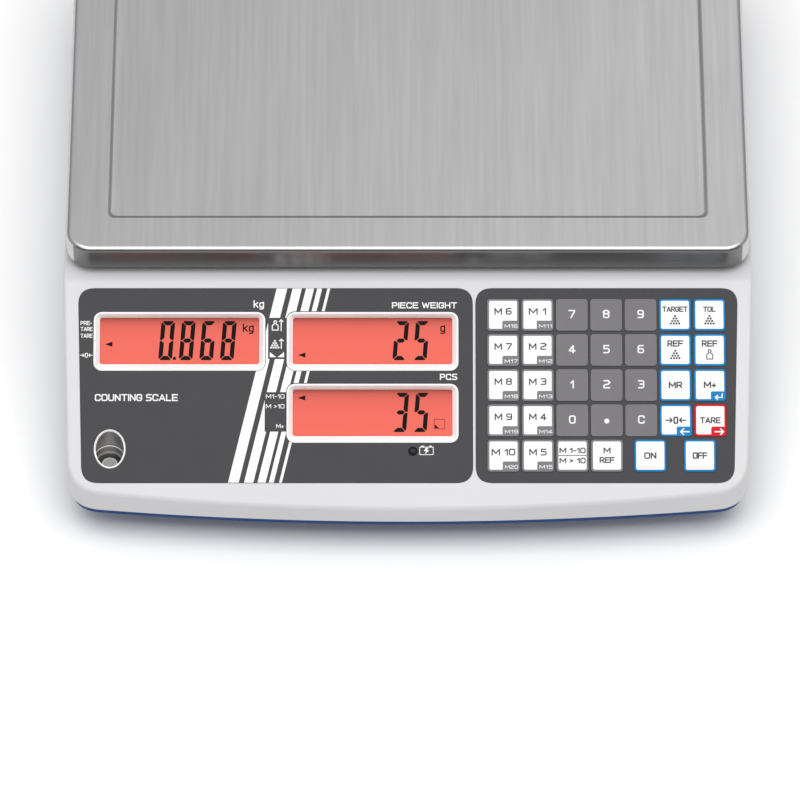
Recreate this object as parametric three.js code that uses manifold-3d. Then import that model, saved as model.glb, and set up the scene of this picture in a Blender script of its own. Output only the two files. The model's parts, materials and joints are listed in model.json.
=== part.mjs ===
// A bench-top counting scale: a shallow plastic casing with a sloping front panel that carries three
// displays and a keypad, and a stainless steel pan that stands on a single-point load cell.
// Millimetres, +Z up, the front faces -Y, and the origin is the middle of the footprint on the table.
import * as THREE from "three";
import { mergeVertices } from "three/addons/utils/BufferGeometryUtils.js";
import Module from "manifold-3d";

const wasm = await Module();
wasm.setup();

// Clearances
const gap = 0.3; // between pieces that touch on the real object
const runningGap = 0.4; // round a piece that slides or turns

// Casing
const casingDepth = 364;
const frontNarrowing = 3; // on each side, from the fold to the front corners
const cornerRadius = 16;
const frontBow = 9; // how far the middle of the front stands out past its corners
const undersideHeight = 12; // the base plate above the table
const baseRimHeight = 17.5; // where the base's sloping skirt meets its upright rim
const partingHeight = 22; // the joint between base and top housing
const frontEdgeHeight = 33; // the top of the front wall, in its middle
const deckHeight = 83; // the flat top under the pan
const housingWall = 2.5;
const panelWall = 4.2;
const deckEdgeRound = 3;
const baseFloor = 3;
const baseWall = 2;
const skirtInset = 8;
const baseInset = 1.5; // the base's rim stands this far inside the top housing's wall
const lipHeight = 4;

// Front panel foils, keys and displays. Panel positions run along the slope from the foils' lower edge.
const foilFrontMargin = 13.5;
const foilSideMargin = 7.3;
const foilTaper = 2.6; // how much nearer to the middle a foil's outer edge is at its lower end
const foilRearMargin = 4.11;
const foilGap = 1.4;
const foilRadius = 8.5;
const foilPocket = 2;
const foilProud = 0.3;
const keyPitchX = 17.45;
const keyPitchY = 18.2;
const keyWidth = 16.2;
const keyHeight = 16.5;
const keyRadius = 1.6;
const keyProud = 0.7;
const keyThickness = 1.8;
const firstKeyRow = 14; // from the foil's lower edge to the middle of the lowest row of keys
const lastKeyRow = 13.9; // from the middle of the highest row to the foil's upper edge
const lastKeyColumn = 14.7; // from the foil's right edge to the middle of the last column
const onKeyShift = 30.5; // the ON key, from the last column
const offKeyShift = 5.4;
const keypadLeftMargin = 14; // from the foil's left edge to the middle of the first column
const windowWidth = 81;
const windowHeight = 24.4;
const windowRim = 3.1; // the bevelled frame round a window
const windowLip = 0.6; // the frame's flat outer edge
const windowDepth = 2.6;
const windowRadius = 4;
const windowSpacing = 17; // between the two columns of windows
const windowLeftMargin = 11.3; // from the display foil's edges to the windows nearest to them
const windowRightMargin = 10.3;
const upperDisplayHeight = 73.2;
const lowerDisplayHeight = 36;
const lcdThickness = 4.5;
const lcdOverlap = 2.4; // how far an LCD module reaches behind the panel round its window
const boardThickness = 1.6;
const levelFromSide = 23.7; // the level window, from the casing's side
const levelWindowHeight = 17; // and from the foil's lower edge
const levelWindowWidth = 15;
const levelWindowLength = 19;
const levelLip = 0.8; // the ring of housing round the level window
const ledFromEdge = 30.4; // the charge lamp, from the display foil's right edge
const ledHeight = 16.3;
const ledRadius = 2.2;

// Weighing system
const panSideSetback = 1.5;
const panFrontSetback = 4.5; // the pan's front edge, behind the fold between panel and deck
const panRearSetback = 8;
const panRimHeight = 14.5;
const panThickness = 1;
const panAboveDeck = 5;
const panCornerRadius = 13;
const panFold = 2.6; // radius of the folded edge
const panBorder = 20.5; // width of the raised border round the sunk middle
const panSink = 1.2;
const panSinkSlope = 2.5;
const cellLength = 130;
const cellWidth = 30;
const cellHeight = 22;
const cellBore = 8;
const cellBoreSpacing = 26;
const riserLength = 34;
const riserHeight = 25;
const cellTravel = 0.5; // how far the loaded end of the load cell gives
const carrierThickness = 7;
const carrierAboveDeck = 4.5;
const carrierArmWidth = 22;
const carrierPlateLength = 124;
const carrierPlateWidth = 58;
const postRadius = 10;
const bufferRadius = 7;
const bufferHeight = 4.5;
const postInsetX = 53.5; // the posts, from the pan's edges
const postInsetY = 42;

// Feet: a rubber pad that stays still and a thumb screw that turns in it and in the base
const footFromSide = 35;
const footFromFront = 46;
const footFromRear = 34;
const padRadius = 14;
const padHeight = 4.4;
const padSocketDepth = 2;
const wheelRadius = 15;
const wheelThickness = 4.4;
const wheelFlutes = 12;
const studRadius = 4;
const studTop = 34;
const footBossWall = 4;
const footBossTop = 40;

// Electrics
const batteryWidth = 70;
const batteryLength = 101;
const batteryHeight = 47;
const batteryPlay = 1;
const trayWall = 2;
const trayLedge = 2.5;
const coverThickness = 2.4;
const gripLength = 26; // the finger grips in the cover
const gripWidth = 2.2;
const gripPitch = 6;
const gripDepth = 1;
const mainBoardWidth = 78;
const mainBoardLength = 110;
const mainBoardHeight = 26;
const socketFromMiddle = 100;
const socketHeight = 44;
const socketBarrel = 5.6;
const socketBore = 3.3;
const socketLength = 13;
const levelRadius = 8;
const levelThickness = 9;
const levelTop = 36.8;

// Screws that hold the casing together
const screwFromSide = 14;
const middleScrewX = 70;
const bossRadius = 4.5;
const screwRadius = 1.6;
const bossRoom = 1.5; // between a screw's boss and what stands beside it

// Worked out from the sizes above
const keypadWidth = keypadLeftMargin + 6 * keyPitchX + lastKeyColumn;
const displayFoilWidth = windowLeftMargin + 2 * windowWidth + windowSpacing + windowRightMargin;
const foilHeight = firstKeyRow + 4 * keyPitchY + lastKeyRow;
const casingWidth = 2 * foilSideMargin + displayFoilWidth + foilGap + keypadWidth;
const frontWidth = casingWidth - 2 * frontNarrowing;
const panelLength = foilFrontMargin + foilHeight + foilRearMargin;
const panelTilt = Math.asin((deckHeight - frontEdgeHeight) / panelLength);
const halfDepth = casingDepth / 2;
const floorTop = undersideHeight + baseFloor;
const foldY = -halfDepth + (deckHeight - frontEdgeHeight) / Math.tan(panelTilt);
const panFront = foldY + panFrontSetback;
const panRear = halfDepth - panRearSetback;
const panDepth = panRear - panFront;
const panWidth = casingWidth - 2 * panSideSetback;
const postSpacingX = panWidth - 2 * postInsetX;
const postSpacingY = panDepth - 2 * postInsetY;
const panMiddle = (panFront + panRear) / 2;
const panTop = deckHeight + panAboveDeck + panRimHeight;
const cellBottom = floorTop + gap + riserHeight + gap;
const cellTop = cellBottom + cellHeight;
const carrierBottom = deckHeight + carrierAboveDeck;
const carrierTop = carrierBottom + carrierThickness;
const foilRight = casingWidth / 2 - foilSideMargin;
const keypadLeft = foilRight - keypadWidth;
const displayRight = keypadLeft - foilGap;
const displayLeft = -foilRight;
const lastColumnX = foilRight - lastKeyColumn;
const rightDisplayX = displayRight - windowRightMargin - windowWidth / 2;
const displayColumn = windowWidth + windowSpacing;

const panelMatrix = new THREE.Matrix4()
  .makeTranslation(
    0,
    -halfDepth + foilFrontMargin * Math.cos(panelTilt),
    frontEdgeHeight + foilFrontMargin * Math.sin(panelTilt),
  )
  .multiply(new THREE.Matrix4().makeRotationX(panelTilt));

// ---- solids ----

function toSolid(geometry) {
  const bare = geometry.clone();
  bare.deleteAttribute("normal");
  bare.deleteAttribute("uv");
  const merged = mergeVertices(bare, 1e-4);
  return new wasm.Manifold(
    new wasm.Mesh({
      numProp: 3,
      vertProperties: merged.attributes.position.array,
      triVerts: new Uint32Array(merged.index.array),
    }),
  );
}

function toGeometry(solid) {
  const { vertProperties, triVerts } = solid.getMesh();
  const indexed = new THREE.BufferGeometry();
  indexed.setAttribute("position", new THREE.BufferAttribute(vertProperties, 3));
  indexed.setIndex(new THREE.BufferAttribute(triVerts, 1));
  const geometry = indexed.toNonIndexed();
  geometry.computeVertexNormals();
  return geometry;
}

const join = (first, ...rest) => rest.reduce((sum, next) => sum.add(next), first);
const cut = (body, ...tools) => tools.reduce((left, tool) => left.subtract(tool), body);

function box(width, depth, x, y, bottom, top) {
  const height = top - bottom;
  return toSolid(new THREE.BoxGeometry(width, depth, height).translate(x, y, bottom + height / 2));
}

function cylinder(radius, x, y, bottom, top, segments = 20) {
  const height = top - bottom;
  const geometry = new THREE.CylinderGeometry(radius, radius, height, segments).rotateX(Math.PI / 2);
  return toSolid(geometry.translate(x, y, bottom + height / 2));
}

function cylinderAlongY(radius, x, z, front, rear, segments = 20) {
  const length = rear - front;
  const geometry = new THREE.CylinderGeometry(radius, radius, length, segments);
  return toSolid(geometry.translate(x, front + length / 2, z));
}

function prism(shape, bottom, top, segments = 3) {
  const settings = { depth: top - bottom, bevelEnabled: false, curveSegments: segments };
  return new THREE.ExtrudeGeometry(shape, settings).translate(0, 0, bottom);
}

// A closed skin through outlines that have the same number of points, from the first ring to the last.
function loft(rings) {
  const count = rings[0].outline.length;
  const positions = rings.flatMap(({ outline, z }) => outline.flatMap((p) => [p.x, p.y, z]));
  const index = [];
  for (let ring = 0; ring + 1 < rings.length; ring++) {
    for (let i = 0; i < count; i++) {
      const a = ring * count + i;
      const b = ring * count + ((i + 1) % count);
      index.push(a, b, b + count, a, b + count, a + count);
    }
  }
  const last = (rings.length - 1) * count;
  for (const [a, b, c] of THREE.ShapeUtils.triangulateShape(rings[0].outline, [])) {
    index.push(a, c, b);
  }
  for (const [a, b, c] of THREE.ShapeUtils.triangulateShape(rings.at(-1).outline, [])) {
    index.push(last + a, last + b, last + c);
  }
  const geometry = new THREE.BufferGeometry();
  geometry.setAttribute("position", new THREE.Float32BufferAttribute(positions, 3));
  geometry.setIndex(index);
  return geometry;
}

// ---- outlines ----

function roundedRectangle(width, height, radius, x = 0, y = 0) {
  const right = width / 2 - radius;
  const top = height / 2 - radius;
  const shape = new THREE.Shape();
  shape.absarc(x + right, y - top, radius, -Math.PI / 2, 0);
  shape.absarc(x + right, y + top, radius, 0, Math.PI / 2);
  shape.absarc(x - right, y + top, radius, Math.PI / 2, Math.PI);
  shape.absarc(x - right, y - top, radius, Math.PI, 1.5 * Math.PI);
  shape.closePath();
  return shape;
}

// A polygon with each corner replaced by a curve that starts and ends the radius away from it.
function roundedCorners(corners, radius) {
  const shape = new THREE.Shape();
  corners.forEach((corner, i) => {
    const before = corners[(i + corners.length - 1) % corners.length];
    const after = corners[(i + 1) % corners.length];
    const from = corner.clone().add(before.clone().sub(corner).setLength(radius));
    const to = corner.clone().add(after.clone().sub(corner).setLength(radius));
    if (i === 0) {
      shape.moveTo(from.x, from.y);
    } else {
      shape.lineTo(from.x, from.y);
    }
    shape.quadraticCurveTo(corner.x, corner.y, to.x, to.y);
  });
  shape.closePath();
  return shape;
}

// The points of a closed shape, each of them once.
function ringPoints(shape, divisions) {
  const points = shape.getPoints(divisions);
  return points.filter((point, i) => point.distanceTo(points.at(i - 1)) > 1e-3);
}

function casingOutline(inset) {
  const half = casingWidth / 2 - inset;
  const frontHalf = frontWidth / 2 - inset;
  const rear = halfDepth - inset;
  const radius = Math.max(cornerRadius - inset, 1);
  const chord = frontWidth / 2;
  const bowRadius = (chord ** 2 + frontBow ** 2) / (2 * frontBow);
  const centre = bowRadius - halfDepth;
  const reach = bowRadius - inset;
  const frontY = (x) => centre - Math.sqrt(reach ** 2 - x ** 2);
  const sweep = Math.asin((frontHalf - radius) / reach);
  const cornerY = frontY(frontHalf);
  const sideY = cornerY + radius;
  const sideX = frontHalf + ((half - frontHalf) * radius) / (foldY - cornerY);
  const shape = new THREE.Shape();
  shape.absarc(0, centre, reach, -Math.PI / 2 - sweep, -Math.PI / 2 + sweep);
  shape.quadraticCurveTo(frontHalf, cornerY, sideX, sideY);
  shape.lineTo(half, foldY);
  shape.absarc(half - radius, rear - radius, radius, 0, Math.PI / 2);
  shape.absarc(radius - half, rear - radius, radius, Math.PI / 2, Math.PI);
  shape.lineTo(-half, foldY);
  shape.lineTo(-sideX, sideY);
  shape.quadraticCurveTo(-frontHalf, cornerY, radius - frontHalf, frontY(frontHalf - radius));
  shape.closePath();
  return ringPoints(shape, 4);
}

const casingRing = (inset, z) => ({ outline: casingOutline(inset), z });

// Everything that stands above the plane of the sloping panel, moved along its normal by offset.
function abovePanel(offset) {
  const reach = 3 * casingDepth;
  const geometry = new THREE.BoxGeometry(reach, reach, reach).translate(0, 0, offset + reach / 2);
  return toSolid(geometry.applyMatrix4(panelMatrix));
}

const onPanel = (geometry) => toSolid(geometry.applyMatrix4(panelMatrix));

// ---- places of what repeats ----

const displays = [
  { name: "lcd_weight", x: rightDisplayX - displayColumn, y: upperDisplayHeight },
  { name: "lcd_piece_weight", x: rightDisplayX, y: upperDisplayHeight },
  { name: "lcd_count", x: rightDisplayX, y: lowerDisplayHeight },
];

const keyRows = [
  ["m10", "m5", "bank", "m_ref"],
  ["m9", "m4", "0", "point", "clear", "zero", "tare"],
  ["m8", "m3", "1", "2", "3", "mr", "m_plus"],
  ["m7", "m2", "4", "5", "6", "ref_count", "ref_weight"],
  ["m6", "m1", "7", "8", "9", "target", "tolerance"],
];
const keys = keyRows.flatMap((names, row) =>
  names.map((name, column) => ({
    name: `key_${name}`,
    x: lastColumnX - (6 - column) * keyPitchX,
    y: firstKeyRow + row * keyPitchY,
  })),
);
keys.push({ name: "key_on", x: lastColumnX - onKeyShift, y: firstKeyRow });
keys.push({ name: "key_off", x: lastColumnX - offKeyShift, y: firstKeyRow });

const feet = [
  { name: "front_left", x: -casingWidth / 2 + footFromSide, y: -halfDepth + footFromFront },
  { name: "front_right", x: casingWidth / 2 - footFromSide, y: -halfDepth + footFromFront },
  { name: "rear_left", x: -casingWidth / 2 + footFromSide, y: halfDepth - footFromRear },
  { name: "rear_right", x: casingWidth / 2 - footFromSide, y: halfDepth - footFromRear },
];

const sideScrewX = casingWidth / 2 - screwFromSide;
const screws = [-1, 1].flatMap((side) => [
  { x: side * sideScrewX, y: foldY },
  { x: side * sideScrewX, y: panMiddle + panDepth / 4 },
  { x: side * middleScrewX, y: halfDepth - screwFromSide },
  { x: side * middleScrewX, y: -halfDepth + 2 * screwFromSide },
]);

const insideBosses = casingWidth / 2 - screwFromSide - bossRadius - bossRoom;
const battery = { x: -insideBosses + trayWall + batteryPlay + batteryWidth / 2, y: panMiddle };
const mainBoardX = insideBosses - mainBoardWidth / 2;
const riserX = -(cellLength - riserLength) / 2;
const level = {
  x: -casingWidth / 2 + levelFromSide,
  y: new THREE.Vector3(0, levelWindowHeight, -panelWall).applyMatrix4(panelMatrix).y,
};

// ---- casing pieces ----

function topHousing() {
  const outer = cut(
    toSolid(
      loft([
        casingRing(0, partingHeight),
        casingRing(0, deckHeight - deckEdgeRound),
        casingRing(0.3 * deckEdgeRound, deckHeight - 0.3 * deckEdgeRound),
        casingRing(deckEdgeRound, deckHeight),
      ]),
    ),
    abovePanel(0),
  );
  const hollow = cut(
    toSolid(
      loft([
        casingRing(housingWall, partingHeight - 1),
        casingRing(housingWall, deckHeight - housingWall),
      ]),
    ),
    abovePanel(-panelWall),
  );
  const bossBottom = partingHeight + lipHeight + 2;
  const bosses = screws.map(({ x, y }) =>
    cylinder(bossRadius, x, y, bossBottom, deckHeight, 8).intersect(outer),
  );
  const pilots = screws.map(({ x, y }) =>
    cylinder(screwRadius - 0.3, x, y, bossBottom - 1, bossBottom + 8, 8),
  );
  return cut(
    join(cut(outer, hollow), ...bosses),
    ...pilots,
    displayPocketCut(),
    keypadPocketCut(),
    ...displays.map(windowCut),
    onPanel(prism(levelWindowShape(0), -2 * panelWall, 2, 10)),
    onPanel(new THREE.CylinderGeometry(ledRadius + gap, ledRadius + gap, 20, 16)
      .rotateX(Math.PI / 2)
      .translate(displayRight - ledFromEdge, ledHeight, 0)),
    box(riserLength + 6, cellWidth + 8, -riserX, panMiddle, deckHeight - 10, deckHeight + 1),
    cylinderAlongY(socketBarrel + gap, socketFromMiddle, socketHeight, halfDepth - 6, halfDepth + 1),
  );
}

// A foil's outline grown all round; its outer edge leans in towards its lower end.
function foilShape(left, right, grow) {
  const leftTaper = left === displayLeft ? foilTaper : 0;
  const rightTaper = right === foilRight ? foilTaper : 0;
  const corners = [
    new THREE.Vector2(left + leftTaper - grow, -grow),
    new THREE.Vector2(right - rightTaper + grow, -grow),
    new THREE.Vector2(right + grow, foilHeight + grow),
    new THREE.Vector2(left - grow, foilHeight + grow),
  ];
  return roundedCorners(corners, foilRadius + grow);
}

function windowShape({ x, y }, grow) {
  return roundedRectangle(
    windowWidth + 2 * grow, windowHeight + 2 * grow, Math.max(windowRadius - windowRim + grow, 1), x, y,
  );
}

function windowCut(display) {
  const ring = (grow, z) => ({ outline: ringPoints(windowShape(display, grow), 3), z });
  const bevel = windowRim - windowLip;
  return onPanel(
    loft([ring(0, -panelWall - 1), ring(0, -windowDepth), ring(bevel, 0), ring(bevel, 1)]),
  );
}

function displayPocketCut() {
  const outline = foilShape(displayLeft, displayRight, gap);
  outline.holes.push(...displays.map((display) => windowShape(display, windowRim)));
  outline.holes.push(levelWindowShape(levelLip));
  return onPanel(prism(outline, -foilPocket, 1, 5));
}

const keypadPocketCut = () => onPanel(prism(foilShape(keypadLeft, foilRight, gap), -foilPocket, 1, 5));

function levelWindowShape(grow) {
  const shape = new THREE.Shape();
  shape.absellipse(
    level.x,
    levelWindowHeight,
    levelWindowWidth / 2 + grow,
    levelWindowLength / 2 + grow,
    0,
    2 * Math.PI,
  );
  return shape;
}

function baseShell() {
  const lipInset = housingWall + gap;
  const wallTop = partingHeight - gap;
  const tray = cut(
    toSolid(
      loft([
        casingRing(skirtInset, undersideHeight),
        casingRing(baseInset, baseRimHeight),
        casingRing(baseInset, wallTop),
        casingRing(lipInset, wallTop),
        casingRing(lipInset, wallTop + lipHeight),
      ]),
    ),
    toSolid(
      loft([
        casingRing(skirtInset + baseWall, floorTop),
        casingRing(lipInset + baseWall, baseRimHeight + baseFloor),
        casingRing(lipInset + baseWall, wallTop + lipHeight + 1),
      ]),
    ),
  );
  const footBosses = feet.map(({ x, y }) =>
    cylinder(studRadius + runningGap + footBossWall, x, y, undersideHeight + 1, footBossTop, 12),
  );
  const footBores = feet.map(({ x, y }) =>
    cylinder(studRadius + runningGap, x, y, undersideHeight - 1, footBossTop - 2, 16),
  );
  const screwBosses = screws.map(({ x, y }) =>
    cylinder(bossRadius, x, y, undersideHeight + 1, partingHeight + lipHeight + 2 - gap, 8),
  );
  const screwBores = screws.flatMap(({ x, y }) => [
    cylinder(screwRadius + gap, x, y, undersideHeight - 1, partingHeight + lipHeight + 3, 8),
    cylinder(bossRadius - 1.2, x, y, undersideHeight - 1, undersideHeight + 4, 8),
  ]);
  const trayTop = floorTop + gap + batteryHeight + batteryPlay;
  const batteryBox = roundBattery(trayWall, undersideHeight + 1, trayTop + trayWall);
  const batteryShoulder = roundBattery(trayLedge + trayWall, undersideHeight + 1, floorTop + trayWall);
  const stopPost = cylinder(5, -riserX, panMiddle, undersideHeight + 1, cellBottom - 2 * cellTravel, 12);
  const levelPost = cylinder(levelRadius - 1, level.x, level.y, undersideHeight + 1,
    levelTop - levelThickness - gap, 16);
  const boardPosts = [-1, 1].flatMap((sideX) =>
    [-1, 1].map((sideY) =>
      cylinder(
        3.5,
        mainBoardX + sideX * (mainBoardWidth / 2 - 6),
        panMiddle + sideY * (mainBoardLength / 2 - 6),
        undersideHeight + 1,
        mainBoardHeight - gap,
        10,
      ),
    ),
  );
  return cut(
    join(
      tray,
      ...footBosses,
      ...screwBosses,
      batteryBox,
      batteryShoulder,
      stopPost,
      levelPost,
      ...boardPosts,
    ),
    ...footBores,
    ...screwBores,
    roundBattery(0, undersideHeight - 1, trayTop),
    roundBattery(trayLedge, undersideHeight - 1, floorTop),
  );
}

// The battery's room in its tray, grown sideways.
function roundBattery(grow, bottom, top) {
  const room = 2 * (batteryPlay + grow);
  return box(batteryWidth + room, batteryLength + room, battery.x, battery.y, bottom, top);
}

function batteryCover() {
  const top = floorTop - gap;
  const bottom = top - coverThickness;
  const firstGrip = battery.y - batteryLength / 2 + gripPitch;
  const grips = [0, 1, 2].map((i) =>
    box(gripLength, gripWidth, battery.x, firstGrip + i * gripPitch, bottom - 1, bottom + gripDepth),
  );
  return cut(roundBattery(trayLedge - gap, bottom, top), ...grips);
}

// ---- front panel pieces, in the panel's own frame ----

function displayFoil() {
  const outline = foilShape(displayLeft, displayRight, 0);
  outline.holes.push(...displays.map((display) => windowShape(display, windowRim + gap)));
  outline.holes.push(levelWindowShape(levelLip + gap));
  const lampHole = new THREE.Path();
  lampHole.absarc(displayRight - ledFromEdge, ledHeight, ledRadius + gap, 0, 2 * Math.PI);
  outline.holes.push(lampHole);
  return prism(outline, gap - foilPocket, foilProud, 5);
}

function keypadFoil() {
  const outline = foilShape(keypadLeft, foilRight, 0);
  const room = 2 * runningGap;
  for (const { x, y } of keys) {
    outline.holes.push(roundedRectangle(keyWidth + room, keyHeight + room, keyRadius + runningGap, x, y));
  }
  return prism(outline, gap - foilPocket, foilProud, 1);
}

function keyCap() {
  return prism(roundedRectangle(keyWidth, keyHeight, keyRadius), keyProud - keyThickness, keyProud, 1);
}

function lcdModule() {
  const width = windowWidth + 2 * lcdOverlap;
  const height = windowHeight + 2 * lcdOverlap;
  const glass = new THREE.BoxGeometry(width, height, lcdThickness);
  return glass.translate(0, 0, -panelWall - gap - lcdThickness / 2);
}

function displayBoard() {
  const [weight, , count] = displays;
  const edge = windowHeight / 2 + lcdOverlap + 2;
  const left = weight.x - windowWidth / 2 - lcdOverlap;
  const right = count.x + windowWidth / 2 + lcdOverlap;
  const inner = count.x - windowWidth / 2 - lcdOverlap;
  const shape = new THREE.Shape();
  shape.moveTo(inner, count.y - edge);
  shape.lineTo(right, count.y - edge);
  shape.lineTo(right, weight.y + edge);
  shape.lineTo(left, weight.y + edge);
  shape.lineTo(left, weight.y - edge);
  shape.lineTo(inner, weight.y - edge);
  shape.closePath();
  const top = -panelWall - lcdThickness - 2 * gap;
  const plate = toSolid(prism(shape, top - boardThickness, top));
  const chip = (x, y, width, length, height) =>
    box(width, length, x, y, top - boardThickness - height, top - boardThickness / 2);
  return toGeometry(
    join(plate, chip(weight.x, weight.y, 14, 14, 2), chip(count.x, count.y, 18, 10, 2.4),
      chip(count.x + 28, weight.y, 8, 22, 6)),
  );
}

function chargeLamp() {
  const profile = [
    [0, -panelWall],
    [ledRadius, -panelWall],
    [ledRadius, foilProud - 0.2],
    [ledRadius * 0.7, foilProud + 0.3],
    [0, foilProud + 0.5],
  ].map(([r, z]) => new THREE.Vector2(r, z));
  return new THREE.LatheGeometry(profile, 16).rotateX(Math.PI / 2);
}

// ---- weighing pieces ----

function panRing(inset, z) {
  const shape = roundedRectangle(
    panWidth - 2 * inset, panDepth - 2 * inset, Math.max(panCornerRadius - inset, 2.5), 0, panMiddle,
  );
  return { outline: ringPoints(shape, 4), z };
}

function weighingPan() {
  const bottom = panTop - panRimHeight;
  const inner = panFold - panThickness;
  const under = panTop - panThickness;
  const slant = (radius, steps) =>
    Array.from({ length: steps + 1 }, (_, i) => {
      const angle = (i / steps) * (Math.PI / 2);
      return [radius * (1 - Math.cos(angle)), radius * (1 - Math.sin(angle))];
    });
  const innerFold = slant(inner, 2).map(([inset, drop]) => panRing(panThickness + inset, under - drop));
  const outerFold = slant(panFold, 3).map(([inset, drop]) => panRing(inset, panTop - drop));
  return loft([
    panRing(panBorder + panSinkSlope, under - panSink),
    panRing(panBorder, under),
    ...innerFold.reverse(),
    panRing(panThickness, bottom),
    panRing(0, bottom),
    ...outerFold,
    panRing(panBorder, panTop),
    panRing(panBorder + panSinkSlope, panTop - panSink),
  ]);
}

function panCarrier() {
  const bufferTop = panTop - panSink - panThickness - gap;
  const plate = toSolid(
    prism(roundedRectangle(carrierPlateLength, carrierPlateWidth, 8, 0, panMiddle), carrierBottom,
      carrierTop),
  );
  const corners = [-1, 1].flatMap((sideX) => [-1, 1].map((sideY) => [sideX, sideY]));
  const arms = corners.map(([sideX, sideY]) => {
    const dx = (sideX * postSpacingX) / 2;
    const dy = (sideY * postSpacingY) / 2;
    const length = Math.hypot(dx, dy);
    const bar = new THREE.BoxGeometry(length, carrierArmWidth, carrierThickness)
      .translate(length / 2, 0, carrierBottom + carrierThickness / 2)
      .rotateZ(Math.atan2(dy, dx));
    return toSolid(bar.translate(0, panMiddle, 0));
  });
  const posts = corners.flatMap(([sideX, sideY]) => {
    const x = (sideX * postSpacingX) / 2;
    const y = panMiddle + (sideY * postSpacingY) / 2;
    return [
      cylinder(postRadius + 3, x, y, carrierBottom, carrierTop, 12),
      cylinder(postRadius, x, y, carrierBottom, bufferTop - bufferHeight, 12),
      cylinder(bufferRadius, x, y, carrierBottom, bufferTop, 12),
    ];
  });
  const foot = box(riserLength - 2, cellWidth, -riserX, panMiddle, cellTop + gap + cellTravel,
    carrierTop);
  return join(plate, ...arms, ...posts, foot);
}

function loadCell() {
  const bar = box(cellLength, cellWidth, 0, panMiddle, cellBottom, cellTop);
  const middle = (cellBottom + cellTop) / 2;
  const front = panMiddle - cellWidth;
  const rear = panMiddle + cellWidth;
  const bores = [-1, 1].map((side) =>
    cylinderAlongY(cellBore, (side * cellBoreSpacing) / 2, middle, front, rear, 20),
  );
  const slot = box(cellBoreSpacing, 2 * cellWidth, 0, panMiddle, middle - 2, middle + 2);
  const bolts = [-1, 1].flatMap((side) =>
    [-1, 1].map((row) =>
      cylinder(2.6, side * -riserX, panMiddle + row * 8, cellBottom - 1, cellTop + 1, 10),
    ),
  );
  return cut(bar, ...bores, slot, ...bolts);
}

const cellRiser = () =>
  box(riserLength, cellWidth + 6, riserX, panMiddle, floorTop + gap, cellBottom - gap);

// ---- feet ----

function footPad() {
  const profile = [
    [0, 0],
    [padRadius - 1.5, 0],
    [padRadius, 1.5],
    [padRadius - 1, padHeight],
    [studRadius + 1.3, padHeight],
    [studRadius + 1.3, padHeight - padSocketDepth],
    [0, padHeight - padSocketDepth],
  ].map(([r, z]) => new THREE.Vector2(r, z));
  return new THREE.LatheGeometry(profile, 18).rotateX(Math.PI / 2);
}

function footScrew() {
  const wheelBottom = padHeight + gap;
  const rim = new THREE.Shape(
    Array.from({ length: 2 * wheelFlutes }, (_, i) => {
      const radius = i % 2 ? wheelRadius : wheelRadius - 1.2;
      const angle = (i * Math.PI) / wheelFlutes;
      return new THREE.Vector2(radius * Math.cos(angle), radius * Math.sin(angle));
    }),
  );
  return join(
    toSolid(prism(rim, wheelBottom, wheelBottom + wheelThickness)),
    cylinder(studRadius, 0, 0, padHeight - padSocketDepth + gap, studTop, 16),
  );
}

// ---- electrics ----

function mainBoard() {
  const x = mainBoardX;
  const plate = box(mainBoardWidth, mainBoardLength, x, panMiddle, mainBoardHeight,
    mainBoardHeight + boardThickness);
  const block = (dx, dy, width, length, height) =>
    box(width, length, x + dx, panMiddle + dy, mainBoardHeight + 0.5, mainBoardHeight + height);
  return join(plate, block(-18, 30, 26, 22, 16), block(16, 34, 12, 12, 14), block(4, -6, 16, 16, 3.4),
    block(24, -34, 9, 24, 9), block(-24, -38, 20, 8, 8));
}

function dcSocket() {
  const face = halfDepth - gap;
  const barrel = cylinderAlongY(socketBarrel, socketFromMiddle, socketHeight, face - socketLength, face);
  const body = box(2 * socketBarrel + 3, socketLength - housingWall - 1, socketFromMiddle,
    halfDepth - housingWall - gap - (socketLength - housingWall - 1) / 2,
    socketHeight - socketBarrel - 1.5, socketHeight + socketBarrel + 1.5);
  const bore = cylinderAlongY(socketBore, socketFromMiddle, socketHeight, face - 9.5, face + 1);
  return cut(join(barrel, body), bore);
}

function levelVial() {
  const profile = [
    [0, levelTop - levelThickness],
    [levelRadius, levelTop - levelThickness],
    [levelRadius, levelTop - 0.6],
    [levelRadius - 0.6, levelTop],
    [levelRadius - 1.6, levelTop],
    [levelRadius - 1.6, levelTop - 0.8],
    [0, levelTop - 0.8],
  ].map(([r, z]) => new THREE.Vector2(r, z));
  return new THREE.LatheGeometry(profile, 20).rotateX(Math.PI / 2).translate(level.x, level.y, 0);
}

// ---- assembly ----

const finish = (color, roughness, metalness = 0) =>
  new THREE.MeshStandardMaterial({ color, roughness, metalness });
const materials = {
  housing: finish(0xe6e6e8, 0.55),
  base: finish(0x123c80, 0.5),
  foil: finish(0x525254, 0.6),
  numberKey: finish(0x858386, 0.6),
  functionKey: finish(0xfbfbfc, 0.5),
  screen: finish(0xf4685c, 0.4),
  lamp: finish(0x2a2a2c, 0.3),
  steel: finish(0xb4b4b4, 0.35, 1),
  aluminium: finish(0xc4c6c8, 0.45, 1),
  castAluminium: finish(0x9a9c9e, 0.6, 1),
  rubber: finish(0x1c1c1c, 0.85),
  blackPlastic: finish(0x26262a, 0.5),
  board: finish(0x1f5a34, 0.6),
  battery: finish(0x34363a, 0.6),
  vial: finish(0xd8dcd2, 0.2),
};

const scale = new THREE.Group();

function place(parent, name, shape, material, x = 0, y = 0) {
  const geometry = shape.isBufferGeometry ? shape : toGeometry(shape);
  const mesh = new THREE.Mesh(geometry, material);
  mesh.name = name;
  mesh.position.set(x, y, 0);
  parent.add(mesh);
  return mesh;
}

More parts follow.
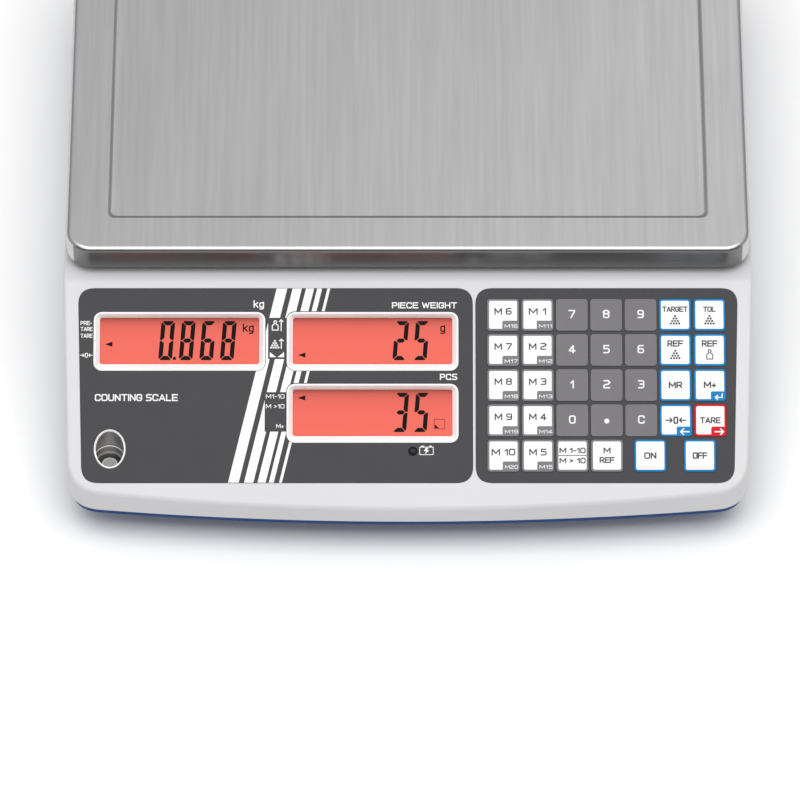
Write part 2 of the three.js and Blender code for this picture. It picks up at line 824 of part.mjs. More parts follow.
place(scale, "base_shell", baseShell(), materials.base);
place(scale, "top_housing", topHousing(), materials.housing);
place(scale, "battery_cover", batteryCover(), materials.base);
place(scale, "weighing_pan", weighingPan(), materials.steel);
place(scale, "pan_carrier", panCarrier(), materials.castAluminium);
place(scale, "load_cell", loadCell(), materials.aluminium);
place(scale, "load_cell_riser", cellRiser(), materials.aluminium);
place(scale, "main_board", mainBoard(), materials.board);
place(scale, "dc_socket", dcSocket(), materials.blackPlastic);
place(scale, "level_vial", levelVial(), materials.vial);
const batteryBottom = floorTop + gap;
place(scale, "battery", box(batteryWidth, batteryLength, battery.x, battery.y, batteryBottom,
  batteryBottom + batteryHeight), materials.battery);

for (const { name, x, y } of feet) {
  place(scale, `foot_pad_${name}`, footPad(), materials.rubber, x, y);
  place(scale, `foot_screw_${name}`, footScrew(), materials.blackPlastic, x, y);
}

const panel = new THREE.Group();
panel.applyMatrix4(panelMatrix);
scale.add(panel);
place(panel, "display_foil", displayFoil(), materials.foil);
place(panel, "keypad_foil", keypadFoil(), materials.foil);
place(panel, "display_board", displayBoard(), materials.board);
place(panel, "charge_lamp", chargeLamp(), materials.lamp, displayRight - ledFromEdge, ledHeight);
for (const { name, x, y } of displays) {
  place(panel, name, lcdModule(), materials.screen, x, y);
}
for (const { name, x, y } of keys) {
  const material = /key_(\d|point|clear)$/.test(name) ? materials.numberKey : materials.functionKey;
  place(panel, name, keyCap(), material, x, y);
}

export default scale;
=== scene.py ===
"""Looks of the counting scale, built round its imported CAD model.

Shapes are made in millimetres and become objects in metres. Their places come from the CAD nodes' own
extents. Work on the sloping front panel is done in the panel's own axes: x to the right, y up the
slope from the foils' lower edge, and z out of the housing's face."""
import json
import math

import bmesh
import bpy
from mathutils import Matrix, Vector
from mathutils.geometry import delaunay_2d_cdt


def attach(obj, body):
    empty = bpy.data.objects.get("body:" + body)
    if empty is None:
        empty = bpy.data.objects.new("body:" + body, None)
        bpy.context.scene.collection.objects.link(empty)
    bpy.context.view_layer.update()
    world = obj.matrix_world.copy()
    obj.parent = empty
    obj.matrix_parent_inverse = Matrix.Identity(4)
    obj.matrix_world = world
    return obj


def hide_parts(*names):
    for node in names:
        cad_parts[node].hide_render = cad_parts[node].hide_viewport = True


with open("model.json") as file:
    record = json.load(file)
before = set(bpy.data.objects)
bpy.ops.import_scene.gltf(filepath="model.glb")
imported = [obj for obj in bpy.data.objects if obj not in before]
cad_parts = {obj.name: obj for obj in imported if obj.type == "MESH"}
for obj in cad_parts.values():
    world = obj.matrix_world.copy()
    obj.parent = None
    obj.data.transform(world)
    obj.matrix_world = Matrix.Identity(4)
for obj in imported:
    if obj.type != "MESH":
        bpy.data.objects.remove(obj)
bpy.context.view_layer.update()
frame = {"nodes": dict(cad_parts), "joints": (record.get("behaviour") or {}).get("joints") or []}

MM = 0.001

# ---- places taken from the frame ----


def extent(points):
    return [Vector([pick(p[i] for p in points) for i in range(3)]) for pick in (min, max)]


def node_points(node):
    return [v.co / MM for v in frame["nodes"][node].data.vertices]


def node_box(node):
    return extent(node_points(node))


def middle(box):
    return (box[0] + box[1]) / 2


joints = {joint["name"]: joint for joint in frame["joints"]}
PANEL_NORMAL = -Vector(joints["key_0_press"]["axis"])
PANEL_UP = PANEL_NORMAL.cross(Vector((1, 0, 0)))
TILT = math.atan2(-PANEL_NORMAL.y, PANEL_NORMAL.z)
FOIL_PROUD = 0.3  # the foils' faces above the housing's

to_panel_axes = Matrix((Vector((1, 0, 0)), PANEL_UP, PANEL_NORMAL))
foil_corner, foil_face = extent([to_panel_axes @ p for p in node_points("display_foil")])
PANEL = to_panel_axes.transposed().to_4x4()
PANEL.translation = to_panel_axes.transposed() @ Vector((0, foil_corner.y, foil_face.z - FOIL_PROUD))
to_panel = PANEL.inverted()


def panel_box(node):
    """A node's extent in the panel's axes."""
    return extent([to_panel @ p for p in node_points(node)])


HALF_WIDTH, HALF_DEPTH, DECK = node_box("top_housing")[1]
PARTING = node_box("top_housing")[0].z
UNDERSIDE = node_box("base_shell")[0].z
PAN_LOW, PAN_HIGH = node_box("weighing_pan")
PAN_MIDDLE = middle((PAN_LOW, PAN_HIGH)).y
DISPLAY_FOIL, KEYPAD_FOIL = panel_box("display_foil"), panel_box("keypad_foil")
LEVEL = middle(node_box("level_vial"))
LAMP_LOW, LAMP_HIGH = panel_box("charge_lamp")
LAMP = middle((LAMP_LOW, LAMP_HIGH))
LAMP_RADIUS = (LAMP_HIGH.x - LAMP_LOW.x) / 2
RISER = node_box("load_cell_riser")
CELL = node_box("load_cell")
BATTERY = node_box("battery")
FEET = [name.removeprefix("foot_pad_") for name in frame["nodes"] if name.startswith("foot_pad_")]
KEYS = [name for name in frame["nodes"] if name.startswith("key_")]
DISPLAYS = ("lcd_weight", "lcd_piece_weight", "lcd_count")

# Sizes in millimetres that the CAD model's boxes don't show
GAP = 0.3
SEAM = 0.08  # round pieces that are stuck in place
FRONT_NARROWING = 3
CORNER_RADIUS = 16
FRONT_BOW = 9
HOUSING_WALL = 2.5
PANEL_WALL = 4.2
EDGE_ROUND = 1.6
SKIRT_INSET = 8
SKIRT_HEIGHT = 5.5
BASE_INSET = 1.5
BASE_WALL = 2
BASE_FLOOR = 3
LIP_HEIGHT = 4
FOIL_POCKET = 2
FOIL_TAPER = 2.6
FOIL_RADIUS = 8.5
LCD_OVERLAP = 2.4
WINDOW_RIM = 3.1
WINDOW_LIP = 1.1
WINDOW_DEPTH = 2.6
WINDOW_RADIUS = 1.2
WINDOW_SHIFT = 0.8  # of each opening to the rear within its frame
LEVEL_WIDTH = 15
LEVEL_LENGTH = 19
LEVEL_HEIGHT = 17.6  # of its window's middle, up the panel
LEVEL_LIP = 0.6
LEVEL_SHIFT = 0.5  # of its window, to the right
VIAL_DEPTH = 5
KEY_RADIUS = 1.6
KEY_ROOM = 0.12
FOIL_EDGE = 0.15
DECK_HOLE = (40, 38, 3)  # width, length and corner radius
CARRIER_PLATE = (124, 58, 8)
CELL_POST = 5
LEVEL_POST = 7
BOARD_POST = 3.5
BOARD_INSET = 6
SOCKET_BARREL = 5.6
SOCKET_BORE = 3.3
FOOT_BORE = 4.4
SCREW_SIDE = 14
SCREW_MIDDLE = 70
SCREW_BOSS = 4.5
SCREW_RECESS = 3.3
SCREW_BORE = 1.9
SCREW_SEAT = 4
SPIKE_LIMIT = 0.3  # how far an outline's sharp corners may run out as it grows

# ---- outlines, as anticlockwise lists of (x, y) ----

SQUARE = ((-1, -1), (1, -1), (1, 1), (-1, 1))


def arc(x, y, radius, start, end, steps):
    """Points on an arc, in degrees, both ends included."""
    angles = [math.radians(start + (end - start) * i / steps) for i in range(steps + 1)]
    return [(x + radius * math.cos(a), y + radius * math.sin(a)) for a in angles]


def circle(radius, x=0, y=0, steps=32):
    return arc(x, y, radius, 0, 360, steps)[:-1]


def ellipse(across, along, x, y, steps=64):
    return [(x + across * px, y + along * py) for px, py in circle(1, steps=steps)]


def rounded_rectangle(width, height, radius, x=0, y=0, steps=5):
    right, top = width / 2 - radius, height / 2 - radius
    corners = ((right, -top, -90), (right, top, 0), (-right, top, 90), (-right, -top, 180))
    return [p for cx, cy, a in corners for p in arc(x + cx, y + cy, radius, a, a + 90, steps)]


def curve_to(start, corner, end, steps):
    """Points on a quadratic curve, without its start."""
    points = []
    for i in range(1, steps + 1):
        t = i / steps
        parts = zip(start, corner, end)
        points.append(tuple((1 - t) ** 2 * s + 2 * t * (1 - t) * c + t * t * e for s, c, e in parts))
    return points


def rounded_corners(corners, radius, steps=8):
    outline = []
    for i, corner in enumerate(corners):
        here = Vector(corner)
        before, after = Vector(corners[i - 1]), Vector(corners[(i + 1) % len(corners)])
        start = here + (before - here).normalized() * radius
        end = here + (after - here).normalized() * radius
        outline += [tuple(start)] + curve_to(start, here, end, steps)
    return outline


def grown(outline, distance):
    """The outline moved outwards by a distance."""
    points = [Vector(p) for p in outline]
    result = []
    for i, here in enumerate(points):
        before = (here - points[i - 1]).normalized()
        after = (points[(i + 1) % len(points)] - here).normalized()
        normal = Vector((before.y + after.y, -before.x - after.x))
        result.append(tuple(here + normal * distance / max(normal.length_squared / 2, SPIKE_LIMIT)))
    return result


def moved(outline, x, y):
    return [(x + px, y + py) for px, py in outline]


def box_outline(box, grow, radius, steps=5):
    """A box's outline with rounded corners, grown by a distance."""
    size, centre = box[1] - box[0], middle(box)
    return rounded_rectangle(size.x + 2 * grow, size.y + 2 * grow, radius, centre.x, centre.y, steps)


def at_height(outline, z):
    return [(x, y, z) for x, y in outline]


def plan(ring):
    return [(x, y) for x, y, _ in ring]


def quarter_round(radius, steps=6):
    """How an edge rounds off from its side to its face, as (inset, drop)."""
    angles = [math.radians(90 * i / steps) for i in range(steps + 1)] if radius else [0]
    return [(radius * (1 - math.cos(a)), radius * (1 - math.sin(a))) for a in angles]


class Area:
    """What an odd number of closed loops go round. A loop may cross itself. Areas can be united."""

    def __init__(self, *loops):
        self.parts = [[(list(loop), *(pick(p[i] for p in loop) for i in (0, 1) for pick in (min, max)))
                       for loop in loops]]

    def loops(self):
        return [loop for part in self.parts for loop, *_ in part]

    def holds(self, x, y):
        for part in self.parts:
            found = False
            for loop, left, right, bottom, top in part:
                if not (left < x < right and bottom < y < top):
                    continue
                turns = 0
                for (x0, y0), (x1, y1) in zip(loop, loop[1:] + loop[:1]):
                    if (y0 > y) != (y1 > y) and x < x0 + (y - y0) * (x1 - x0) / (y1 - y0):
                        turns += 1 if y1 > y0 else -1
                found ^= turns != 0
            if found:
                return True
        return False

    def moved(self, x, y):
        return together(*(Area(*(moved(loop, x, y) for loop, *_ in part)) for part in self.parts))


def together(*areas):
    """The union of areas."""
    union = Area()
    union.parts = [part for area in areas for part in area.parts]
    return union


# ---- shapes ----


class Shape:
    """Points and faces in millimetres, each face with a material slot."""

    def __init__(self):
        self.points, self.faces, self.slots = [], [], []

    def loft(self, rings, slot=0, wrap=False):
        """Bands between rings of the same number of points; wrap joins the last to the first."""
        first, count = len(self.points), len(rings[0])
        self.points += [Vector(p) for ring in rings for p in ring]
        for r in range(len(rings) if wrap else len(rings) - 1):
            low, high = first + r * count, first + (r + 1) % len(rings) * count
            for i in range(count):
                j = (i + 1) % count
                self.faces.append([low + i, low + j, high + j, high + i])
                self.slots.append(slot)
        return self

    def surface(self, layers, height=0.0, lines=()):
        """A surface painted in layers of (area, slot). The first is its extent, the later ones lie on
        it, and a slot of None cuts a hole. height is a number or a function of x and y."""
        layers = [(area if isinstance(area, Area) else Area(area), slot) for area, slot in layers]
        flat, edges = [], []
        for loop in (loop for area, _ in layers for loop in area.loops()):
            first, count = len(flat), len(loop)
            edges += [(first + i, first + (i + 1) % count) for i in range(count)]
            flat += [Vector(p) for p in loop]
        for line in lines:
            edges += [(len(flat) + i, len(flat) + i + 1) for i in range(len(line) - 1)]
            flat += [Vector(p) for p in line]
        points, _, faces, *_ = delaunay_2d_cdt(flat, edges, [], 0, 1e-4)
        level = height if callable(height) else lambda x, y: height
        first = len(self.points)
        self.points += [Vector((p.x, p.y, level(p.x, p.y))) for p in points]
        extent_area = layers[0][0]
        for face in faces:
            centre = sum((points[i] for i in face), Vector((0, 0))) / len(face)
            if not extent_area.holds(*centre):
                continue
            slot = [slot for area, slot in layers if area is extent_area or area.holds(*centre)][-1]
            if slot is not None:
                self.faces.append([first + i for i in face])
                self.slots.append(slot)
        return self

    def plate(self, outer, bottom, top, holes=(), edge=0.0, layers=(), lower_edge=0.0):
        """A flat plate with rounded upper and lower edges, and layers painted on its top."""
        sides = [(inset, bottom + drop) for inset, drop in reversed(quarter_round(lower_edge, 4))]
        sides += [(inset, top - drop) for inset, drop in quarter_round(edge, 4)]
        for loop, way in [(outer, -1)] + [(hole, 1) for hole in holes]:
            self.loft([at_height(grown(loop, way * inset), z) for inset, z in sides])
        for inset, z, painted in ((edge, top, layers), (lower_edge, bottom, ())):
            cuts = [(grown(hole, inset), None) for hole in holes]
            self.surface([(grown(outer, -inset), 0), *painted, *cuts], z)
        return self

    def lathe(self, profile, x=0, y=0, steps=32, slot=0):
        """A turned shape about an upright line, from a closed or axis-to-axis profile of
        (radius, height)."""
        rings = [at_height([(x + px, y + py) for px, py in circle(max(r, 1e-4), steps=steps)], z)
                 for r, z in profile]
        return self.loft(rings, slot, wrap=profile[0][0] > 0)

    def join(self, other, matrix=Matrix.Identity(4)):
        first = len(self.points)
        self.points += [matrix @ p for p in other.points]
        self.faces += [[first + i for i in face] for face in other.faces]
        self.slots += other.slots
        return self

    def moved(self, matrix):
        return Shape().join(self, matrix)

    def mesh(self, name, materials):
        """The welded mesh, with its faces turned outwards."""
        mesh = bpy.data.meshes.new(name)
        mesh.from_pydata([p * MM for p in self.points], [], self.faces)
        for material in materials:
            mesh.materials.append(material)
        mesh.polygons.foreach_set("material_index", self.slots)
        work = bmesh.new()
        work.from_mesh(mesh)
        bmesh.ops.remove_doubles(work, verts=work.verts, dist=0.002 * MM)
        bmesh.ops.dissolve_degenerate(work, edges=work.edges, dist=0.001 * MM)
        bmesh.ops.recalc_face_normals(work, faces=work.faces)
        loose = [v for v in work.verts if not v.link_faces]
        bmesh.ops.delete(work, geom=loose, context="VERTS")
        work.to_mesh(mesh)
        work.free()
        return mesh


def new_object(name, data):
    thing = bpy.data.objects.new(name, data)
    bpy.context.scene.collection.objects.link(thing)
    return thing


def with_booleans(piece, shapes, operation):
    """Joins shapes to a piece, or cuts them out of it."""
    for shape in shapes:
        tool = new_object("tool", shape.mesh("tool", piece.data.materials))
        modifier = piece.modifiers.new("boolean", "BOOLEAN")
        modifier.operation = operation
        modifier.solver = "EXACT"
        modifier.object = tool
        shaped = piece.evaluated_get(bpy.context.evaluated_depsgraph_get())
        old, piece.data = piece.data, bpy.data.meshes.new_from_object(shaped)
        piece.modifiers.clear()
        piece.data.name = piece.name
        bpy.data.meshes.remove(old)
        bpy.data.meshes.remove(tool.data)


def shade(piece, sharp):
    """Smooth shading, apart from edges that turn by more than an angle in degrees."""
    work = bmesh.new()
    work.from_mesh(piece.data)
    for face in work.faces:
        face.smooth = True
    for edge in work.edges:
        edge.smooth = len(edge.link_faces) == 2 and edge.calc_face_angle(0) < math.radians(sharp)
    work.to_mesh(piece.data)
    work.free()
    weighted = piece.modifiers.new("weighted_normals", "WEIGHTED_NORMAL")
    weighted.keep_sharp = True


def make(shape, name, materials, body, stands_for=None, joined=(), cut=(), sharp=35):
    """Turns a shape into a piece that rides on a body, in place of a CAD node if one is named."""
    piece = new_object(name, shape.mesh(name, materials))
    with_booleans(piece, joined, "UNION")
    with_booleans(piece, cut, "DIFFERENCE")
    shade(piece, sharp)
    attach(piece, body)
    if stands_for:
        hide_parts(stands_for)
    return piece


# ---- materials ----


def scaled(color, factor):
    return tuple(min(c * factor, 1) for c in color)


def add_node(tree, kind, output, values=(), **links):
    """Adds a node with values and links on its inputs, and gives one of its outputs."""
    node = tree.nodes.new("ShaderNode" + kind)
    for socket, value in dict(values).items():
        node.inputs[socket].default_value = value
    for socket, source in links.items():
        tree.links.new(source, node.inputs[socket])
    return node.outputs[output]


class Material:
    """A node material, with short ways to add nodes to it."""

    def __init__(self, name, color, roughness, metallic=0.0, coat=0.0, shine=0.5):
        self.made = bpy.data.materials.new(name)
        self.made.use_nodes = True
        self.tree = self.made.node_tree
        self.shader = self.tree.nodes["Principled BSDF"]
        values = {"Base Color": (*color, 1), "Roughness": roughness, "Metallic": metallic,
                  "Coat Weight": coat, "Coat Roughness": 0.06, "Specular IOR Level": shine}
        for socket, value in values.items():
            self.shader.inputs[socket].default_value = value
        self.place = self.node("TexCoord", "Object")

    def node(self, kind, output, values=(), **links):
        return add_node(self.tree, kind, output, values, **links)

    def link(self, source, target):
        self.tree.links.new(source, self.shader.inputs[target])

    def noise(self, scale, detail=2.0, stretch=(1, 1, 1)):
        vector = self.node("Mapping", "Vector", {"Scale": stretch}, Vector=self.place)
        return self.node("TexNoise", "Fac", {"Scale": scale, "Detail": detail}, Vector=vector)

    def span(self, source, low, high, source_low=0.3, source_high=0.7):
        limits = {"From Min": source_low, "From Max": source_high, "To Min": low, "To Max": high}
        return self.node("MapRange", "Result", limits, Value=source)

    def ramp(self, factor, *stops):
        """Colours along a factor, as (position, colour)."""
        output = self.node("ValToRGB", "Color", Fac=factor)
        elements = output.node.color_ramp.elements
        for position, color in stops[1:-1]:
            elements.new(position).color = (*color, 1)
        for element, (position, color) in ((elements[0], stops[0]), (elements[-1], stops[-1])):
            element.position = position
            element.color = (*color, 1)
        return output

    def mottle(self, color, source, vary):
        stops = [(end, scaled(color, 1 + way * vary)) for end, way in ((0, -1), (1, 1))]
        self.link(self.ramp(self.span(source, 0, 1), *stops), "Base Color")

    def bump(self, *heights):
        """Bumps of (height source, strength, distance in metres), one on the other."""
        below = {}
        for source, strength, distance in heights:
            values = {"Strength": strength, "Distance": distance}
            below = {"Normal": self.node("Bump", "Normal", values, Height=source, **below)}
        self.link(below["Normal"], "Normal")


# For each kind of surface: metallic, shine, clouds as (scale, detail, change of colour), grain as
# (scale, detail), how far roughness goes down and up with the grain, and its bumps' (strength, distance)
SURFACES = {
    "moulded": (0, 0.5, (9, 3, 0.02), (1800, 2), (-0.06, 0.08), (0.5, 0.00004)),
    "printed": (0, 0.15, (60, 2, 0.025), (2600, 1), (-0.05, 0.05), (0.25, 0.00001)),
    "cast": (0.9, 0.5, (40, 3, 0.08), (900, 3), (-0.08, 0.1), (0.6, 0.00012)),
    "plated": (1, 0.5, (300, 3, 0.05), (300, 3), (-0.06, 0.08), (0.15, 0.00002)),
    "rubber": (0, 0.5, (120, 4, 0.15), (1500, 2), (-0.07, 0.1), (0.5, 0.00006)),
}


def textured(name, surface, color, roughness, shine=None):
    """A material with clouds in its colour and a fine grain in its gloss and height."""
    metallic, usual_shine, (scale, detail, vary), grain, (less, more), bumps = SURFACES[surface]
    material = Material(name, color, roughness, metallic, shine=shine or usual_shine)
    material.mottle(color, material.noise(scale, detail), vary)
    fine = material.noise(*grain)
    material.link(material.span(fine, roughness + less, roughness + more), "Roughness")
    material.bump((fine, *bumps))
    return material.made


def brushed_metal(name, color, along, roughness=0.34):
    """Metal with brush lines along an axis: 0 for x, 1 for y."""
    material = Material(name, color, roughness, 1)
    fine, coarse = (material.noise(scale, detail, [squeeze if axis == along else 1 for axis in range(3)])
                    for scale, detail, squeeze in ((2600, 2, 0.012), (420, 3, 0.03)))
    material.mottle(color, coarse, 0.06)
    material.link(material.span(material.noise(7), roughness - 0.04, roughness + 0.04), "Roughness")
    material.bump((coarse, 0.2, 0.00003), (fine, 0.35, 0.00002))
    return material.made


def circuit_board():
    """Green solder mask with copper tracks just visible under it."""
    color, track = (0.012, 0.13, 0.045), (0.03, 0.24, 0.09)
    material = Material("circuit_board_green", color, 0.35, coat=0.3)
    tracks = material.noise(260, 0, (1, 0.25, 1))
    material.link(material.ramp(tracks, (0.46, color), (0.5, track), (0.54, color)), "Base Color")
    material.link(material.span(material.noise(900), 0.3, 0.42), "Roughness")
    material.bump((tracks, 0.2, 0.00003))
    return material.made


def lit_screen(name, display):
    """A lit liquid crystal display, its glow darkened under its upper edge by painted shade that stands in
    for the shadow of the window's recess.
    """
    color = (0.92, 0.16, 0.118)
    # painted shade: the glow's share falls towards the upper edge, in place of the recess's shadow
    painted_top_shade = ((0, 1.02), (0.55, 0.98), (0.8, 0.86), (0.91, 0.66), (1, 0.34))
    material = Material(name, scaled(color, 0.12), 0.5, shine=0.15)
    low, high = panel_box(display)
    edges = [(PANEL @ Vector((0, y + WINDOW_SHIFT, high.z))).y * MM
             for y in (low.y + LCD_OVERLAP, high.y - LCD_OVERLAP)]
    rise = material.span(material.node("SeparateXYZ", "Y", Vector=material.place), 0, 1, *edges)
    glow = material.ramp(rise, *((place, scaled(color, share)) for place, share in painted_top_shade))
    material.link(glow, "Emission Color")
    material.shader.inputs["Emission Strength"].default_value = 0.86
    return material.made


HOUSING = textured("housing_white", "moulded", (0.65, 0.65, 0.662), 0.46)
BASE = textured("base_blue", "moulded", (0.003, 0.045, 0.19), 0.4, 0.2)
FOIL = textured("foil_grey", "printed", (0.058, 0.056, 0.06), 0.5)
INK_WHITE = textured("ink_white", "printed", (0.9, 0.9, 0.9), 0.5)
INK_GREY = textured("ink_grey", "printed", (0.05, 0.05, 0.054), 0.5)
KEY_GREY = textured("key_grey", "printed", (0.18, 0.174, 0.183), 0.5)
KEY_FRAME = textured("key_frame_grey", "printed", (0.2, 0.195, 0.205), 0.5)
KEY_WHITE = textured("key_white", "printed", (0.9, 0.9, 0.9), 0.45)
KEY_BLUE = textured("key_blue", "printed", (0.001, 0.20, 0.48), 0.45)
KEY_RED = textured("key_red", "printed", (0.62, 0.001, 0.014), 0.45)
STEEL = brushed_metal("pan_steel", (0.53, 0.527, 0.527), 1)
# A darker copy of the pan's steel for its front and rear faces: a painted dark reflection on the rim
PAINTED_DARK_RIM_STEEL = brushed_metal("pan_rim_steel_painted_dark", (0.2, 0.198, 0.198), 0)
CHROME = textured("level_chrome", "plated", (0.66, 0.65, 0.64), 0.42)
BLACK = textured("black_plastic", "moulded", (0.012, 0.012, 0.013), 0.4)
LENS = textured("lamp_lens", "printed", (0.012, 0.012, 0.014), 0.2)
RUBBER = textured("foot_rubber", "rubber", (0.018, 0.018, 0.018), 0.75)
ZINC = textured("zinc_plate", "plated", (0.55, 0.56, 0.57), 0.3)
ALUMINIUM = brushed_metal("cell_aluminium", (0.72, 0.72, 0.73), 0, 0.32)
CASTING = textured("carrier_aluminium", "cast", (0.50, 0.50, 0.51), 0.5)
BOARD = circuit_board()
BATTERY_CASE = textured("battery_case", "moulded", (0.03, 0.032, 0.035), 0.45)
VIAL_COLORS = {"vial_black": ((0.004, 0.004, 0.005), 0.25), "vial_pale": ((0.62, 0.63, 0.61), 0.25),
               "vial_grey": ((0.34, 0.345, 0.34), 0.2)}
VIAL = [Material(name, *look, coat=1.0).made for name, look in VIAL_COLORS.items()]

# ---- casing ----

SLOPE = math.tan(TILT)
FRONT_HEIGHT = PANEL.translation.z - (PANEL.translation.y + HALF_DEPTH) * SLOPE
FOLD_Y = -HALF_DEPTH + (DECK - FRONT_HEIGHT) / SLOPE
FOLD_BLEND = 1.6
INNER_RISE = PANEL_WALL / math.cos(TILT)
INNER_FOLD_Y = FOLD_Y + (INNER_RISE - HOUSING_WALL) / SLOPE
FOLD_LINES = [FOLD_Y + FOLD_BLEND * step for step in (-1, -0.5, 0, 0.5, 1)]
SCREWS = [(side * x, y) for side in (-1, 1) for x, y in (
    (HALF_WIDTH - SCREW_SIDE, FOLD_Y),
    (HALF_WIDTH - SCREW_SIDE, PAN_MIDDLE + (PAN_HIGH.y - PAN_LOW.y) / 4),
    (SCREW_MIDDLE, HALF_DEPTH - SCREW_SIDE),
    (SCREW_MIDDLE, -HALF_DEPTH + 2 * SCREW_SIDE),
)]


def casing_outline(inset):
    """The casing in plan: a bowed front between narrowing sides, and a straight rear."""
    half = HALF_WIDTH - inset
    front_half = half - FRONT_NARROWING
    rear = HALF_DEPTH - inset
    radius = max(CORNER_RADIUS - inset, 1)
    chord = HALF_WIDTH - FRONT_NARROWING
    bow_radius = (chord ** 2 + FRONT_BOW ** 2) / (2 * FRONT_BOW)
    centre = bow_radius - HALF_DEPTH
    reach = bow_radius - inset
    corner_y = centre - math.sqrt(reach ** 2 - front_half ** 2)
    sweep = math.degrees(math.asin((front_half - radius) / reach))
    narrowing = FRONT_NARROWING / (FOLD_Y - corner_y)
    side_y = corner_y + radius
    front = arc(0, centre, reach, -90 - sweep, -90 + sweep, 48)
    corner = curve_to(front[-1], (front_half, corner_y), (front_half + radius * narrowing, side_y), 14)
    side = [(min(half, front_half + (y - corner_y) * narrowing), y) for y in FOLD_LINES + [INNER_FOLD_Y]]
    rear_corner = arc(half - radius, rear - radius, radius, 0, 90, 14)
    right = corner + sorted(side, key=lambda p: p[1]) + rear_corner
    return front + right + [(-x, y) for x, y in reversed(right)]


def top_height(x, y):
    """The casing's upper face: the sloping panel, a soft fold and the deck."""
    behind = y - FOLD_Y
    if behind <= -FOLD_BLEND:
        return DECK + behind * SLOPE
    if behind >= FOLD_BLEND:
        return DECK
    return DECK - SLOPE * (FOLD_BLEND - behind) ** 2 / (4 * FOLD_BLEND)


def inner_height(x, y):
    return min(DECK - HOUSING_WALL, DECK + (y - FOLD_Y) * SLOPE - INNER_RISE)


def on_panel(outline, z):
    return [PANEL @ Vector((x, y, z)) for x, y in outline]


def in_plan(outline, z=0.0):
    """A panel outline at a panel height, seen from straight above."""
    return [(p.x, p.y) for p in on_panel(outline, z)]


def foil_outline(box, side, grow=0.0):
    """A foil's outline; its outer edge, on side -1 or 1, leans in towards its lower end."""
    low, high = box
    left, right = low.x - grow, high.x + grow
    lean_left, lean_right = (FOIL_TAPER * (side == end) for end in (-1, 1))
    corners = [(left + lean_left, low.y - grow), (right - lean_right, low.y - grow),
               (right, high.y + grow), (left, high.y + grow)]
    return rounded_corners(corners, FOIL_RADIUS + grow)


def window_outline(display, grow):
    return box_outline(panel_box(display), grow - LCD_OVERLAP, WINDOW_RADIUS + max(grow, 0), 8)


def level_outline(grow):
    return ellipse(LEVEL_WIDTH / 2 + grow, LEVEL_LENGTH / 2 + grow, LEVEL.x + LEVEL_SHIFT, LEVEL_HEIGHT)


WHITE_FRAME = 1  # the housing's slot for frames printed white


def frame_through(outline_at, lip, bevel, depth, shift=0.0):
    """A frame round an opening: up from the foil pocket's floor to the housing's face, over a flat lip
    and down a bevel, then straight through the panel. outline_at gives the opening, grown by an
    amount; the opening itself is shifted to the rear within its frame."""
    soft = min(0.25, lip / 3)
    outer = lip + bevel
    return [(outline_at(grow), z) for grow, z in (
        (outer, -FOIL_POCKET), (outer, -soft), (outer - 0.3 * soft, -0.3 * soft), (outer - soft, 0),
        (bevel + soft, 0), (bevel + 0.3 * soft, -0.3 * soft), (bevel - 0.2 * soft, -soft),
    )] + [(moved(outline_at(0), 0, shift), z) for z in (-depth, -PANEL_WALL)]


def socket_place():
    box = node_box("dc_socket")
    return middle(box).x, middle(box).z, box[1].y


def along_y(shape, x, y, z):
    """Turns a shape made upright about the origin so that it points to the rear."""
    return shape.moved(Matrix.Translation((x, y, z)) @ Matrix.Rotation(math.radians(-90), 4, "X"))


